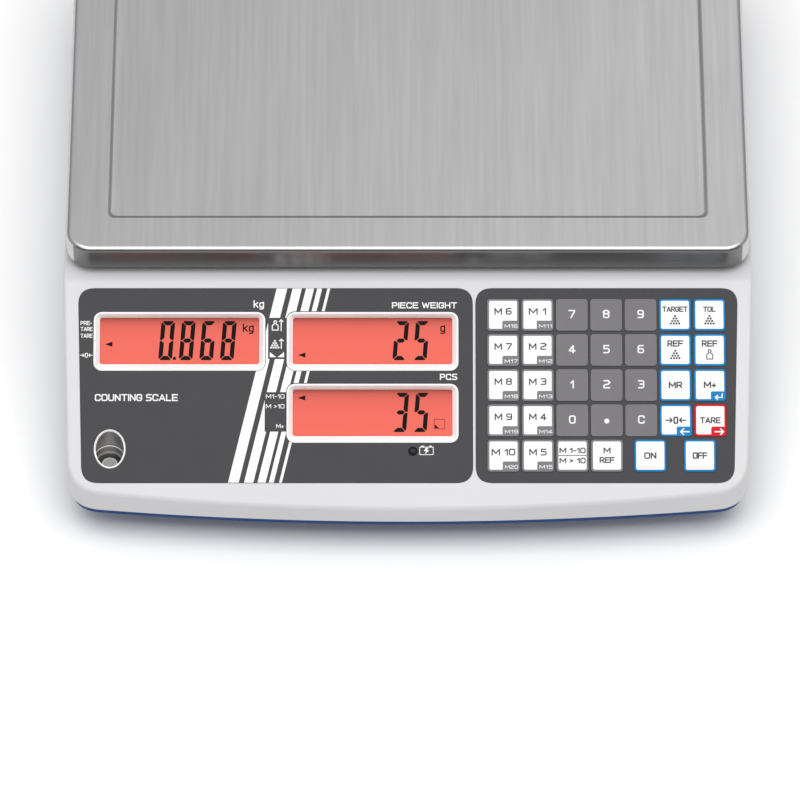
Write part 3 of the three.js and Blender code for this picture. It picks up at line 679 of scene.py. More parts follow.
def top_housing():
    soft = 0.4
    rim, inner_rim = casing_outline(EDGE_ROUND), casing_outline(HOUSING_WALL)
    steps = ((HOUSING_WALL, soft), (HOUSING_WALL - soft, 0), (soft, 0), (soft * 0.3, soft * 0.3), (0, soft))
    rings = [[(x, y, inner_height(x, y)) for x, y in inner_rim]]
    rings += [at_height(casing_outline(inset), PARTING + rise) for inset, rise in steps]
    rings += [[(x, y, top_height(x, y) - drop) for x, y in casing_outline(inset)]
              for inset, drop in quarter_round(EDGE_ROUND)]
    shape = Shape().loft(rings)

    deck_hole = rounded_rectangle(*DECK_HOLE, -middle(RISER).x, PAN_MIDDLE)
    pockets = [foil_outline(DISPLAY_FOIL, -1, SEAM), foil_outline(KEYPAD_FOIL, 1, SEAM)]
    folds = [[p for p in rim if abs(p[1] - y) < 1e-6] for y in FOLD_LINES]
    cuts = [(in_plan(pocket), None) for pocket in pockets] + [(deck_hole, None)]
    shape.surface([(rim, 0), *cuts], top_height, lines=folds)

    frames = [frame_through(lambda grow: window_outline(display, grow), WINDOW_LIP,
                            WINDOW_RIM - WINDOW_LIP, WINDOW_DEPTH, WINDOW_SHIFT) for display in DISPLAYS]
    frames.append(frame_through(level_outline, LEVEL_LIP, 0, 0.5))
    lamp_hole = circle(LAMP_RADIUS + GAP, LAMP.x, LAMP.y)
    frames.append([(lamp_hole, -FOIL_POCKET), (lamp_hole, -PANEL_WALL)])
    for steps in frames:
        shape.loft([on_panel(outline, z) for outline, z in steps], WHITE_FRAME)
    for pocket in pockets:
        shape.loft([on_panel(pocket, 0), on_panel(pocket, -FOIL_POCKET)])
        islands = [(steps[0][0], None) for steps in frames] if pocket is pockets[0] else []
        shape.join(Shape().surface([(pocket, 0), *islands], -FOIL_POCKET), PANEL)

    shape.loft([at_height(deck_hole, DECK), at_height(deck_hole, DECK - HOUSING_WALL)])
    kink = [[p for p in inner_rim if abs(p[1] - INNER_FOLD_Y) < 1e-6]]
    through = [(in_plan(steps[-1][0], -PANEL_WALL), None) for steps in frames] + [(deck_hole, None)]
    shape.surface([(inner_rim, 0), *through], inner_height, lines=kink)

    x, z, rear = socket_place()
    hole = along_y(upright(SOCKET_BARREL + GAP, -6, 1, steps=48), x, rear, z)
    make(shape, "top_housing_shell", [HOUSING, INK_WHITE], "base", "top_housing",
         cut=[hole], sharp=32)


def upright(radius, bottom, top, x=0, y=0, steps=32, slot=0):
    """A turned plug."""
    return Shape().lathe([(0, bottom), (radius, bottom), (radius, top), (0, top)], x, y, steps, slot)


def block(width, length, x, y, bottom, top, radius=1.0):
    return Shape().plate(rounded_rectangle(width, length, radius, x, y), bottom, top)


def base_shell():
    wall_top = PARTING - GAP
    lip_top = wall_top + LIP_HEIGHT
    lip = HOUSING_WALL + GAP
    floor = UNDERSIDE + BASE_FLOOR
    rim = UNDERSIDE + SKIRT_HEIGHT
    steps = [(SKIRT_INSET + 1.2, UNDERSIDE), (SKIRT_INSET + 0.4, UNDERSIDE + 0.15),
             (SKIRT_INSET - 0.5, UNDERSIDE + 0.6), (BASE_INSET + 0.5, rim - 0.3),
             (BASE_INSET + 0.1, rim + 0.1), (BASE_INSET, rim + 0.6), (BASE_INSET, wall_top - 0.3),
             (BASE_INSET + 0.3, wall_top), (lip, wall_top), (lip, lip_top), (lip + BASE_WALL, lip_top),
             (lip + BASE_WALL, rim + BASE_FLOOR), (SKIRT_INSET + BASE_WALL, floor)]
    shape = Shape().loft([at_height(casing_outline(inset), z) for inset, z in steps])
    shape.surface([(casing_outline(steps[0][0]), 0)], UNDERSIDE)
    shape.surface([(casing_outline(steps[-1][0]), 0)], floor)

    inside, below = UNDERSIDE + 1, UNDERSIDE - 1
    play, wall, ledge = 1, 2, 2.5
    tray_top = BATTERY[1].z + play

    def room(grow, bottom, top):
        """Space round the battery."""
        return Shape().plate(box_outline(BATTERY, play + grow, 1 + grow * 0.6), bottom, top)

    joined = [room(wall, inside, tray_top + wall), room(wall + ledge, inside, floor + wall)]
    cut = [room(0, below, tray_top), room(ledge, below, floor)]
    foot_top = max(p.z for p in node_points("foot_screw_front_left")) + 6
    for foot in FEET:
        x, y, _ = middle(node_box("foot_pad_" + foot))
        collar = [(FOOT_BORE + 5, below), (FOOT_BORE + 5.6, below), (FOOT_BORE + 5.6, UNDERSIDE + 0.5),
                  (FOOT_BORE + 5, UNDERSIDE + 0.5)]
        joined.append(upright(FOOT_BORE + 4, inside, foot_top, x, y))
        cut += [upright(FOOT_BORE, below, foot_top - 2, x, y), Shape().lathe(collar, x, y, 48)]
    for x, y in SCREWS:
        joined.append(upright(SCREW_BOSS, inside, lip_top + 2, x, y))
        cut += [upright(SCREW_BORE, below, lip_top + 3, x, y),
                upright(SCREW_RECESS, below, UNDERSIDE + SCREW_SEAT, x, y)]
    joined += [upright(CELL_POST, inside, CELL[0].z - 1, -middle(RISER).x, PAN_MIDDLE),
               upright(LEVEL_POST, inside, node_box("level_vial")[0].z - GAP, LEVEL.x, LEVEL.y)]
    low, high = node_box("main_board")
    joined += [upright(BOARD_POST, inside, low.z - GAP, x, y, 24)
               for x in (low.x + BOARD_INSET, high.x - BOARD_INSET)
               for y in (low.y + BOARD_INSET, high.y - BOARD_INSET)]
    make(shape, "base_tray", [BASE], "base", "base_shell", joined, cut)


def casing_screw(x, y, name):
    """A pan head with a cross recess, seen from below, and its shank."""
    seat = UNDERSIDE + SCREW_SEAT
    head = Shape().lathe([(0, seat - 2.2), (1.6, seat - 2.1), (2.6, seat - 1.4), (2.9, seat - 0.4),
                          (2.9, seat), (1.4, seat), (1.4, seat + 12), (0, seat + 12.6)], x, y, 28)
    cross = [block(*sides, x, y, seat - 3, seat - 1.1, 0.1) for sides in ((0.6, 3.4), (3.4, 0.6))]
    make(head, name, [ZINC], "base", cut=cross)


def battery_cover():
    low, high = node_box("battery_cover")
    shape = Shape().plate(box_outline((low, high), 0, 2), low.z, high.z, edge=0.3, lower_edge=0.5)
    x = middle((low, high)).x
    grips = [block(26, 2.2, x, low.y + 9 + 6 * i, low.z - 1, low.z + 1, 1.05) for i in range(3)]
    make(shape, "battery_door", [BASE], "battery_cover", "battery_cover", cut=grips)


# ---- weighing pan and its carrier ----

PAN_RADIUS = 13
PAN_FOLD = 2.6
PAN_SHEET = 1.0
PAN_BORDER = 20.5
PAN_SINK = 1.2
PAN_SINK_SLOPE = 2.5


def pan_ring(inset, z):
    width = PAN_HIGH.x - PAN_LOW.x - 2 * inset
    depth = PAN_HIGH.y - PAN_LOW.y - 2 * inset
    radius = max(PAN_RADIUS - inset, 3.5)
    return at_height(rounded_rectangle(width, depth, radius, 0, PAN_MIDDLE, 12), z)


def weighing_pan():
    top, bottom = PAN_HIGH.z, PAN_LOW.z
    under = top - PAN_SHEET

    def sunk(face):
        """The eased step from the raised border down to the sunk middle."""
        eased = [(t, t * t * (3 - 2 * t)) for t in (i / 8 for i in range(9))]
        return [pan_ring(PAN_BORDER + t * PAN_SINK_SLOPE, face - drop * PAN_SINK) for t, drop in eased]

    def fold(radius, inset, face):
        """The folded edge, from the rim up to the face."""
        return [pan_ring(inset + inwards, face - drop) for inwards, drop in quarter_round(radius)]

    hem = 0.25
    rings = sunk(under)[::-1] + fold(PAN_FOLD - PAN_SHEET, PAN_SHEET, under)[::-1]
    rings += [pan_ring(PAN_SHEET, bottom + hem), pan_ring(PAN_SHEET - hem, bottom), pan_ring(hem, bottom),
              pan_ring(0, bottom + hem)]
    rings += fold(PAN_FOLD, 0, top) + sunk(top)
    shape = Shape().loft(rings)
    for face in (top, under):
        shape.surface([(plan(rings[-1]), 0)], face - PAN_SINK)
    pan = make(shape, "weighing_pan_sheet", [STEEL, PAINTED_DARK_RIM_STEEL], "pan", "weighing_pan", sharp=40)
    # Faces that face the front or rear get the darker steel copy, a painted dark reflection on the rim
    for face in pan.data.polygons:
        face.material_index = int(abs(face.normal.y) > max(abs(face.normal.x), abs(face.normal.z)))


def pan_carrier():
    """A die-cast spider: a middle plate, four ribbed arms and four posts with rubber buffers."""
    low, high = node_box("pan_carrier")
    arm_bottom = min(p.z for p in node_points("pan_carrier") if abs(p.x) > 80)
    arm_top, post_top = arm_bottom + 7, high.z - 4.5
    post_radius, buffer_radius, flange = 10, 7, 3
    post_x = high.x - post_radius - flange
    post_y = (high.y - low.y) / 2 - post_radius - flange
    corners = [(side_x * post_x, side_y * post_y) for side_x in (-1, 1) for side_y in (-1, 1)]
    post = [(0, arm_bottom), (post_radius + flange, arm_bottom), (post_radius + flange, arm_top - 1),
            (post_radius + 2, arm_top), (post_radius, arm_top + 0.8), (post_radius, post_top - 0.6),
            (post_radius - 0.6, post_top), (0, post_top)]
    seat = post_top + 0.02
    buffer = [(0, post_top - 2), (3, post_top - 2), (3, seat), (buffer_radius, seat),
              (buffer_radius, post_top + 1.4), (buffer_radius - 0.6, post_top + 1.8),
              (buffer_radius - 0.6, high.z - 1), (buffer_radius - 1.6, high.z), (0, high.z)]
    # each arm's bar and its rib: shortening, width, corner radius, bottom, top and edge
    bars = ((6, 22, 4, arm_bottom, arm_top - 2, 1), (12, 4, 1.5, arm_top - 4, arm_top, 0.8))
    shape = Shape().plate(rounded_rectangle(*CARRIER_PLATE, 0, PAN_MIDDLE), arm_bottom, arm_top, edge=1)
    joined = []
    for x, y in corners:
        length = math.hypot(x, y)
        aim_arm = Matrix.Translation((0, PAN_MIDDLE, 0)) @ Matrix.Rotation(math.atan2(y, x), 4, "Z")
        for less, width, radius, bottom, top, edge in bars:
            outline = rounded_rectangle(length - less, width, radius, length / 2)
            joined.append(Shape().plate(outline, bottom, top, edge=edge).moved(aim_arm))
        joined.append(Shape().lathe(post, x, PAN_MIDDLE + y, 40))
    joined.append(block(32, 30, -middle(RISER).x, PAN_MIDDLE, low.z, arm_top - 1, 2))
    make(shape, "carrier_spider", [CASTING], "carrier", "pan_carrier", joined)
    for number, (x, y) in enumerate(corners, 1):
        make(Shape().lathe(buffer, x, PAN_MIDDLE + y, 40), f"pan_buffer_{number}", [RUBBER], "carrier")


# ---- feet ----


def uneven_ring(x, y, z, steps, radius_at):
    """A ring whose radius depends on how far round it is, from 0 to 1."""
    ring = []
    for share in (i / steps for i in range(steps)):
        angle, radius = 2 * math.pi * share, radius_at(share)
        ring.append((x + radius * math.cos(angle), y + radius * math.sin(angle), z))
    return ring


def foot_pad(place):
    pad = node_box("foot_pad_" + place)
    x, y, _ = middle(pad)
    radius, top = (pad[1].x - pad[0].x) / 2, pad[1].z
    profile = [(0, 0.6), (4, 0.6), (4.4, 0)]
    for groove in (6.5, 8.9, 11.3):
        profile += [(groove - 0.5, 0), (groove - 0.3, 0.5), (groove + 0.3, 0.5), (groove + 0.5, 0)]
    profile += [(radius - 1.2, 0), (radius - 0.3, 0.5), (radius, 1.4), (radius - 0.8, top - 0.5),
                (radius - 1.4, top), (5.3, top), (5.3, top - 2), (0, top - 2)]
    make(Shape().lathe(profile, x, y, 56), f"rubber_pad_{place}", [RUBBER], f"foot_pad_{place}",
         f"foot_pad_{place}")


def foot_screw(place):
    """A fluted hand wheel on a threaded stud."""
    x, y, _ = middle(node_box("foot_pad_" + place))
    screw_low, screw_high = node_box("foot_screw_" + place)
    bottom = node_box("foot_pad_" + place)[1].z + GAP
    wheel_radius, height, flutes, flute_depth = 15, 4.4, 12, 1.2
    top, hub_top = bottom + height, bottom + height - 0.8
    rounding = ((0.6, 0), (0.15, 0.2), (0, 0.7))
    heights = [(inset, bottom + rise) for inset, rise in rounding]
    heights += [(inset, top - drop) for inset, drop in reversed(rounding)]
    rings = []
    for inset, z in heights:
        def fluted(share):
            wave = 0.5 + 0.5 * math.cos(2 * math.pi * share * flutes)
            return wheel_radius - inset - flute_depth * wave ** 2

        rings.append(uneven_ring(x, y, z, flutes * 8, fluted))
    wheel = Shape().loft(rings)
    hub = circle(6.5, x, y, 48)
    wheel.surface([(plan(rings[-1]), 0), (hub, None)], top)
    wheel.loft([at_height(hub, top), at_height(hub, hub_top)])
    wheel.surface([(hub, 0)], hub_top)
    wheel.surface([(plan(rings[0]), 0)], bottom)

    core, crest, pitch, around, per_turn = 3.45, 4.0, 1.25, 24, 8
    start, end = hub_top - 0.4, screw_high.z
    count = int((end - start) / pitch * per_turn)
    thread = [[(x, y, start)] * around]
    for z in (start + (end - start) * k / count for k in range(count + 1)):
        def threaded(share):
            phase = ((z - start) / pitch - share) % 1
            return core + (crest - core) * (1 - abs(2 * phase - 1)) * min(1, (end - z) / pitch)

        thread.append(uneven_ring(x, y, z, around, threaded))
    thread.append([(x, y, end)] * around)
    neck = upright(3.9, screw_low.z, bottom + 0.02, x, y, slot=1)
    make(wheel.join(Shape().loft(thread, slot=1)).join(neck), f"levelling_screw_{place}", [BLACK, ZINC],
         f"foot_screw_{place}", f"foot_screw_{place}", sharp=50)


# ---- lettering and signs ----
def rounded_line(points):
    """A line's points, with the corners that have a third number rounded off."""
    line = []
    for i, (x, y, *radius) in enumerate(points):
        here = Vector((x, y))
        if not radius:
            line.append(here)
            continue
        before, after = (Vector(points[j][:2]) for j in (i - 1, (i + 1) % len(points)))
        start, finish = (here + (other - here).normalized() * min(radius[0], (other - here).length / 2)
                         for other in (before, after))
        line += [start] + [Vector(p) for p in curve_to(start, here, finish, 4)]
    return line


def stroke(points, width, closed=False):
    """A line of even width with square ends. Sharp corners are two lines that overlap."""
    line = rounded_line(points)
    if closed:
        return Area(grown(line, width / 2), grown(line, -width / 2))
    ways = [(after - before).normalized() for before, after in zip(line, line[1:])]
    turns = [i for i in range(1, len(ways)) if ways[i - 1].dot(ways[i]) < -0.2]
    pieces = []
    for first, last in zip([0] + turns, turns + [len(ways)]):
        run, run_ways = line[first:last + 1], ways[first:last]
        ends = [width / (2 if i in (0, len(ways)) else 4) for i in (first, last)]
        run = [run[0] - run_ways[0] * ends[0], *run[1:-1], run[-1] + run_ways[-1] * ends[1]]
        right, left = [], []
        for i, here in enumerate(run):
            near = run_ways[max(i - 1, 0):i + 1]
            normal = sum((Vector((-way.y, way.x)) for way in near), Vector((0, 0))) / len(near)
            side = normal * width / 2 / normal.length_squared
            right.append(tuple(here - side))
            left.append(tuple(here + side))
        pieces.append(Area(right + left[::-1]))
    return together(*pieces)


W = 0.74  # the usual width of a letter that is one high
R = 0.26  # the usual radius of its corners
ROUND = [(0, 0, R), (W, 0, R), (W, 1, R), (0, 1, R)]
BOWL = [(0, 0), (0, 1), (W, 1, R), (W, 0.44, R), (0, 0.44)]
# Each letter is lines of points. A list is an open line, and a tuple joins up.
LETTERS = {
    "0": [tuple(ROUND)],
    "O": [tuple((x * 1.1, y, r) for x, y, r in ROUND)],
    "1": [[(0, 0.72), (0.3, 1), (0.3, 0)]],
    "2": [[(0.04, 1), (W, 1, R), (W, 0.55, R), (0, 0.4, R), (0, 0), (W, 0)]],
    "3": [[(0.04, 1), (W, 1, R), (W, 0.52, 0.2), (0.26, 0.52)],
          [(W - 0.08, 0.52), (W, 0.52, 0.1), (W, 0, R), (0.04, 0)]],
    "4": [[(0.56, 0), (0.56, 1), (0, 0.26), (0.8, 0.26)]],
    "5": [[(W - 0.04, 1), (0.04, 1), (0.04, 0.57), (W, 0.57, R), (W, 0, R), (0, 0)]],
    "6": [[(W - 0.06, 1), (0, 1, R), (0, 0, R), (W, 0, R), (W, 0.55, R), (0.03, 0.55)]],
    "7": [[(0, 1), (W, 1), (W, 0.86), (0.26, 0)]],
    "8": [((0, 0, R), (W, 0, R), (W, 0.53, R), (0, 0.53, R)),
          ((0.03, 0.53, R), (W - 0.03, 0.53, R), (W - 0.03, 1, R), (0.03, 1, R))],
    "9": [[(0.06, 0), (W, 0, R), (W, 1, R), (0, 1, R), (0, 0.45, R), (W - 0.03, 0.45)]],
    "A": [[(0, 0), (0.42, 1), (0.84, 0)], [(0.14, 0.28), (0.7, 0.28)]],
    "C": [[(W, 0.78), (W, 1, R), (0, 1, R), (0, 0, R), (W, 0, R), (W, 0.22)]],
    "E": [[(W, 1), (0, 1), (0, 0), (W, 0)], [(0, 0.51), (0.66, 0.51)]],
    "F": [[(W, 1), (0, 1), (0, 0)], [(0, 0.49), (0.66, 0.49)]],
    "G": [[(W, 0.76), (W, 1, R), (0, 1, R), (0, 0, R), (W, 0, R), (W, 0.47), (0.42, 0.47)]],
    "H": [[(0, 0), (0, 1)], [(W, 0), (W, 1)], [(0, 0.5), (W, 0.5)]],
    "I": [[(0, 0), (0, 1)]],
    "L": [[(0, 1), (0, 0), (0.66, 0)]],
    "M": [[(0, 0), (0, 1), (0.5, 0.25), (1, 1), (1, 0)]],
    "N": [[(0, 0), (0, 1), (W, 0), (W, 1)]],
    "P": [BOWL],
    "R": [BOWL, [(0.4, 0.44), (W + 0.03, 0)]],
    "S": [[(W - 0.03, 1), (0, 1, R), (0, 0.53, 0.22), (W, 0.47, 0.22), (W, 0, R), (0, 0)]],
    "T": [[(0, 1), (0.78, 1)], [(0.39, 1), (0.39, 0)]],
    "U": [[(0, 1), (0, 0, R), (W, 0, R), (W, 1)]],
    "W": [[(0, 1), (0.27, 0), (0.54, 0.9), (0.81, 0), (1.08, 1)]],
    "k": [[(0, 0), (0, 1)], [(0.48, 0.7), (0.03, 0.33)], [(0.17, 0.42), (0.5, 0)]],
    "g": [[(0.5, 0.68), (0, 0.68, 0.2), (0, 0, 0.2), (0.5, 0)],
          [(0.5, 0.75), (0.5, -0.3, 0.2), (0.03, -0.3)]],
    "+": [[(0, 0.36), (0.56, 0.36)], [(0.28, 0.08), (0.28, 0.64)]],
    "-": [[(0, 0.45), (0.34, 0.45)]],
    ">": [[(0, 0.18), (0.5, 0.45), (0, 0.72)]],
    " ": [],
}
LETTER_SPACE = 0.3
WORD_SPACE = 0.5


def words(text, height, width=None, x=0.0, y=0.0, weight=0.2):
    """A line of text centred on x, y, of a capital's height and as wide as asked, or unstretched."""
    placed, pen = [], 0
    for letter in text:
        lines = LETTERS[letter]
        placed += [(line, pen) for line in lines]
        pen += max(p[0] for line in lines for p in line) + LETTER_SPACE if lines else WORD_SPACE
    length = pen - LETTER_SPACE
    line_width = weight * height
    rise = height - line_width
    across = (width - line_width) / length if width else rise
    strokes = []
    for line, start in placed:
        points = [(x + (start + px - length / 2) * across, y + (py - 0.5) * rise,
                   *(r * min(rise, across) for r in radius)) for px, py, *radius in line]
        strokes.append(stroke(points, line_width, isinstance(line, tuple)))
    return together(*strokes)


def dot(radius, x=0.0, y=0.0):
    return Area(circle(radius, x, y, 16))


def pyramid(y, scale=1.0):
    """Ten dots in four rows."""
    return together(*(dot(0.56 * scale, 1.4 * scale * (i - row / 2), y + 1.28 * scale * (1.5 - row))
                      for row in range(4) for i in range(row + 1)))


def weight_sign(y):
    """The outline of a balance weight with its knob."""
    right = [(1.6, -2.6), (1.75, -2.4), (1.75, -0.1), (1.5, 0.45), (0.85, 0.7), (0.55, 1.0)]
    knob = arc(0, 1.75, 1.0, -50, 230, 12)
    outline = moved(right + knob + [(-x, py) for x, py in reversed(right)], 0, y)
    return Area(outline, grown(outline, -0.5))


def arrow(x, y, length, turn, line, head):
    """A line arrow centred on x, y that points right, turned by degrees."""
    c, s = math.cos(math.radians(turn)), math.sin(math.radians(turn))
    tip, back = length / 2, (length - head) / 2
    shaft, barbs = [(-tip, 0), (tip - line / 2, 0)], [(back, -head / 2), (tip, 0), (back, head / 2)]
    return together(*(stroke([(x + px * c - py * s, y + px * s + py * c) for px, py in points], line)
                      for points in (shaft, barbs)))


def return_arrow(x, y):
    """Down and to the left, as on an enter key."""
    return together(arrow(x - 0.1, y - 0.5, 3.4, 180, 0.6, 2),
                    stroke([(x + 1, y - 0.5), (x + 1.6, y - 0.5), (x + 1.6, y + 1.3)], 0.6))


def bar(width, height, x=0.0, y=0.0):
    return Area([(x + side * width / 2, y + end * height / 2) for side, end in SQUARE])


# ---- keys ----

FRAME, FACE, LEGEND, TAB_LEGEND = range(4)
TAB_WORDS = (4.05, -5.85)  # the middle of what stands on a key's lower right tab
TAB_SIGN = (4.5, -5.9)


def key_legends():
    """Each key's colour, legends and what stands on its tab."""
    legends = {}
    for number in range(1, 11):
        wide = 12 if number == 10 else 8.8
        legends[f"m{number}"] = ("grey", [words(f"M {number}", 3.5, wide, y=1.8, weight=0.18)],
                                 [words(f"M{number + 10}", 1.9, 6.6, *TAB_WORDS, 0.15)])
    for name, digit in [("clear", "C")] + [(digit, digit) for digit in "0123456789"]:
        legends[name] = ("number", [words(digit, 4.3, y=0.4, weight=0.16)], [])
    zero_sign = together(words("0", 3.8, 2.5), arrow(-3.4, 0, 3.1, 0, 0.65, 2.1),
                         arrow(3.4, 0, 3.1, 180, 0.65, 2.1))
    bank = [words("M 1-10", 2.9, 13.2, y=2.6), bar(14.2, 0.4), words("M > 10", 2.9, 13.2, y=-2.6)]
    legends.update({
        "point": ("number", [dot(1.3, 0, -0.4)], []),
        "bank": ("grey", bank, []),
        "m_ref": ("grey", [words("M", 3.1, 3.6, y=2.7), words("REF", 3.1, 7.6, y=-2.3)], []),
        "target": ("blue", [words("TARGET", 2.8, 12.8, y=2.9), pyramid(-2.6)], []),
        "tolerance": ("blue", [words("TOL", 2.8, 6.2, y=2.9), pyramid(-2.6)], []),
        "ref_count": ("blue", [words("REF", 3.3, 8, y=3.3), pyramid(-2.4)], []),
        "ref_weight": ("blue", [words("REF", 3.3, 8, y=3.3), weight_sign(-2.4)], []),
        "mr": ("blue", [words("MR", 3.4, 6.9)], []),
        "m_plus": ("blue", [words("M+", 3.4, 6.3, y=0.2)], [return_arrow(*TAB_SIGN)]),
        "zero": ("blue", [zero_sign], [arrow(*TAB_SIGN, 4.2, 180, 0.65, 2.8)]),
        "tare": ("red", [words("TARE", 3.2, 10.4)], [arrow(*TAB_SIGN, 4.2, 0, 0.65, 2.8)]),
        "on": ("blue", [words("ON", 3.4, 6.2)], []),
        "off": ("blue", [words("OFF", 3.4, 7.4)], []),
    })
    return legends


KEY_COLORS = {
    "grey": [KEY_FRAME, KEY_WHITE, INK_GREY, INK_WHITE],
    "number": [KEY_GREY, KEY_GREY, INK_WHITE, INK_WHITE],
    "blue": [KEY_BLUE, KEY_WHITE, INK_GREY, INK_WHITE],
    "red": [KEY_RED, KEY_WHITE, INK_GREY, INK_WHITE],
}

def panel_plate(node, radius, edge, layers, steps=5):
    """A plate on the panel in a node's place, with layers painted about its middle."""
    low, high = panel_box(node)
    size, centre = high - low, middle((low, high))
    outline = rounded_rectangle(size.x, size.y, radius, steps=steps)
    shape = Shape().plate(outline, low.z, high.z, edge=edge, layers=layers)
    return shape.moved(PANEL @ Matrix.Translation((centre.x, centre.y, 0)))


def key_cap(node, color, legends, on_tab):
    low, high = panel_box(node)
    right, top = (high.x - low.x) / 2, (high.y - low.y) / 2
    frame_width, tab_radius = 1.0, 0.8
    layers = []
    if color != "number":
        layers.append((rounded_rectangle(2 * (right - frame_width), 2 * (top - frame_width), 0.9), FACE))
    if on_tab:
        tab_width, tab_height = (8.5, 5.2) if color == "grey" else (7.7, 5)
        left, tab_top = right - tab_width, tab_height - top
        corner = arc(left + tab_radius, tab_top - tab_radius, tab_radius, 90, 180, 5)
        layers.append(([(left, -top), (right, -top), (right, tab_top)] + corner, FRAME))
    layers += [(legend, LEGEND) for legend in legends] + [(sign, TAB_LEGEND) for sign in on_tab]
    make(panel_plate(node, KEY_RADIUS, 0.08, layers, 8), node + "_cap", KEY_COLORS[color], node, node)


# ---- foils ----


def stripes():
    """Slanting stripes that get narrower to the right, from edge to edge of the foil."""
    low, high = DISPLAY_FOIL
    slant = 0.2415
    bands = []
    for left, width in ((-66.6, 5.4), (-58.5, 4.7), (-51.7, 4.1), (-46.0, 2.5), (-40.8, 1.4)):
        foot_x = left - slant * high.y
        bands.append([(foot_x, low.y), (foot_x + width, low.y), (left + width, high.y), (left, high.y)])
    return Area(*bands)


def display_legends():
    """Units and signs printed round the windows."""
    captions = (
        ("kg", 3.8, 5.3, -75.7, 92.5, 0.16), ("PIECE WEIGHT", 3.2, 33, 8.4, 91.8, 0.18),
        ("PCS", 3.2, 8.8, 20.6, 54.7, 0.18), ("PRE-", 2.1, 5.8, -163.2, 82.6, 0.16),
        ("TARE", 2.1, 6.1, -163, 79.5, 0.16), ("TARE", 2.1, 6.1, -163, 76, 0.16),
        ("0", 2.4, 1.6, -163, 65.9, 0.16), ("M1-10", 2.2, 9.4, -67.2, 44.6, 0.15),
        ("M >10", 2.2, 9.4, -67.2, 39.5, 0.15), ("M+", 2.2, 3.9, -64.7, 29.3, 0.15),
        ("COUNTING SCALE", 3.6, 42, -137.5, 44.0, 0.17),
    )
    arrows = ((-165.1, 65.9, 1.9, 0, 0.35, 1.3), (-160.9, 65.9, 1.9, 180, 0.35, 1.3),
              (-64.3, 81.5, 5.6, 90, 0.5, 1.8), (-64.2, 71.9, 4.8, 90, 0.5, 1.8))
    stable = together(Area([(-70.0, 64.9), (-66.7, 64.9), (-70.0, 67.5)]),
                      Area([(-66.1, 64.9), (-62.8, 64.9), (-62.8, 67.5)]))
    battery = Area(rounded_rectangle(7.2, 4.2, 0.3, 9.4, 16.5), rounded_rectangle(6.5, 3.5, 0.2, 9.4, 16.5))
    flash = Area([(9, 18), (8, 16.4), (9.2, 16.4), (8.7, 14.9), (10.8, 16.8), (9.6, 16.8), (10.4, 18)])
    poles = [bar(1.3, 0.7, x, 18.8) for x in (7.4, 11.4)]
    signs = [weight_sign(81.3).moved(-67.3, 0), pyramid(71.6, 0.9).moved(-67.5, 0), stable, battery, flash]
    return [words(*caption) for caption in captions] + [arrow(*place) for place in arrows] + signs + poles


def foil(node, name, side, materials, holes, layers=()):
    """A printed foil in its pocket, with its slanting edge on side -1 or 1."""
    low, high = panel_box(node)
    shape = Shape().plate(foil_outline((low, high), side), low.z, high.z, holes, FOIL_EDGE, layers)
    make(shape.moved(PANEL), name, materials, "base", node)


def foils():
    frames = [window_outline(display, WINDOW_RIM + SEAM) for display in DISPLAYS]
    holes = frames + [level_outline(LEVEL_LIP + SEAM), circle(LAMP_RADIUS + SEAM, LAMP.x, LAMP.y)]
    boxes = [rounded_rectangle(9.4, 21.4, 0.5, -66.2, 74.6), rounded_rectangle(11.2, 20.4, 0.5, -66.9, 36.6)]
    layers = [(stripes(), 1)] + [(box, 0) for box in boxes] + [(legend, 1) for legend in display_legends()]
    foil("display_foil", "display_panel_foil", -1, [FOIL, INK_WHITE], holes, layers)
    rooms = [box_outline(panel_box(node), KEY_ROOM, KEY_RADIUS + KEY_ROOM) for node in KEYS]
    foil("keypad_foil", "keypad_panel_foil", 1, [FOIL], rooms)
# ---- displays ----

DIGIT_HEIGHT = 20.3
DIGIT_WIDTH = 7.0
DIGIT_PITCH = 10.43
FIRST_DIGIT = -10.9  # from a display's middle to the left of its first digit
DIGIT_LIFT = 1.3  # of the digits' middle above the display's
SEGMENT = 2.2
SEGMENT_GAP = 0.2
SLANT = 0.08
LIT = {"0": "abcdef", "2": "abged", "3": "abgcd", "5": "afgcd", "6": "afgedc", "8": "abcdefg"}
UNITS = {"kg": (5.6, 34.8), "g": (2.6, 35.6)}  # width and place


def segments(digit):
    """The lit segments of a digit, as slanting outlines from its lower left corner."""
    w, h, t, g = DIGIT_WIDTH, DIGIT_HEIGHT, SEGMENT, SEGMENT_GAP
    m, half = h / 2, t / 2
    soft = t / 4  # the cut-off outer corners
    upper_left = [(0, m + g), (half * 0.9, m + g), (t, m + half + g), (t, h - t - g), (soft, h - soft - g),
                  (0, h - 2 * soft)]
    top = [(soft + g, h - soft), (t + g, h - t), (w - t - g, h - t), (w - soft - g, h - soft),
           (w - 2 * soft, h), (2 * soft, h)]
    cross_bar = [(half + g, m), (t + g, m - half), (w - t - g, m - half), (w - half - g, m),
                 (w - t - g, m + half), (t + g, m + half)]
    mirror = lambda outline: [(w - x, y) for x, y in reversed(outline)]
    flip = lambda outline: [(x, h - y) for x, y in reversed(outline)]
    shapes = {"f": upper_left, "b": mirror(upper_left), "e": flip(upper_left), "c": mirror(flip(upper_left)),
              "a": top, "d": flip(top), "g": cross_bar}
    return Area(*([(x + SLANT * y, y) for x, y in shapes[name]] for name in LIT[digit]))


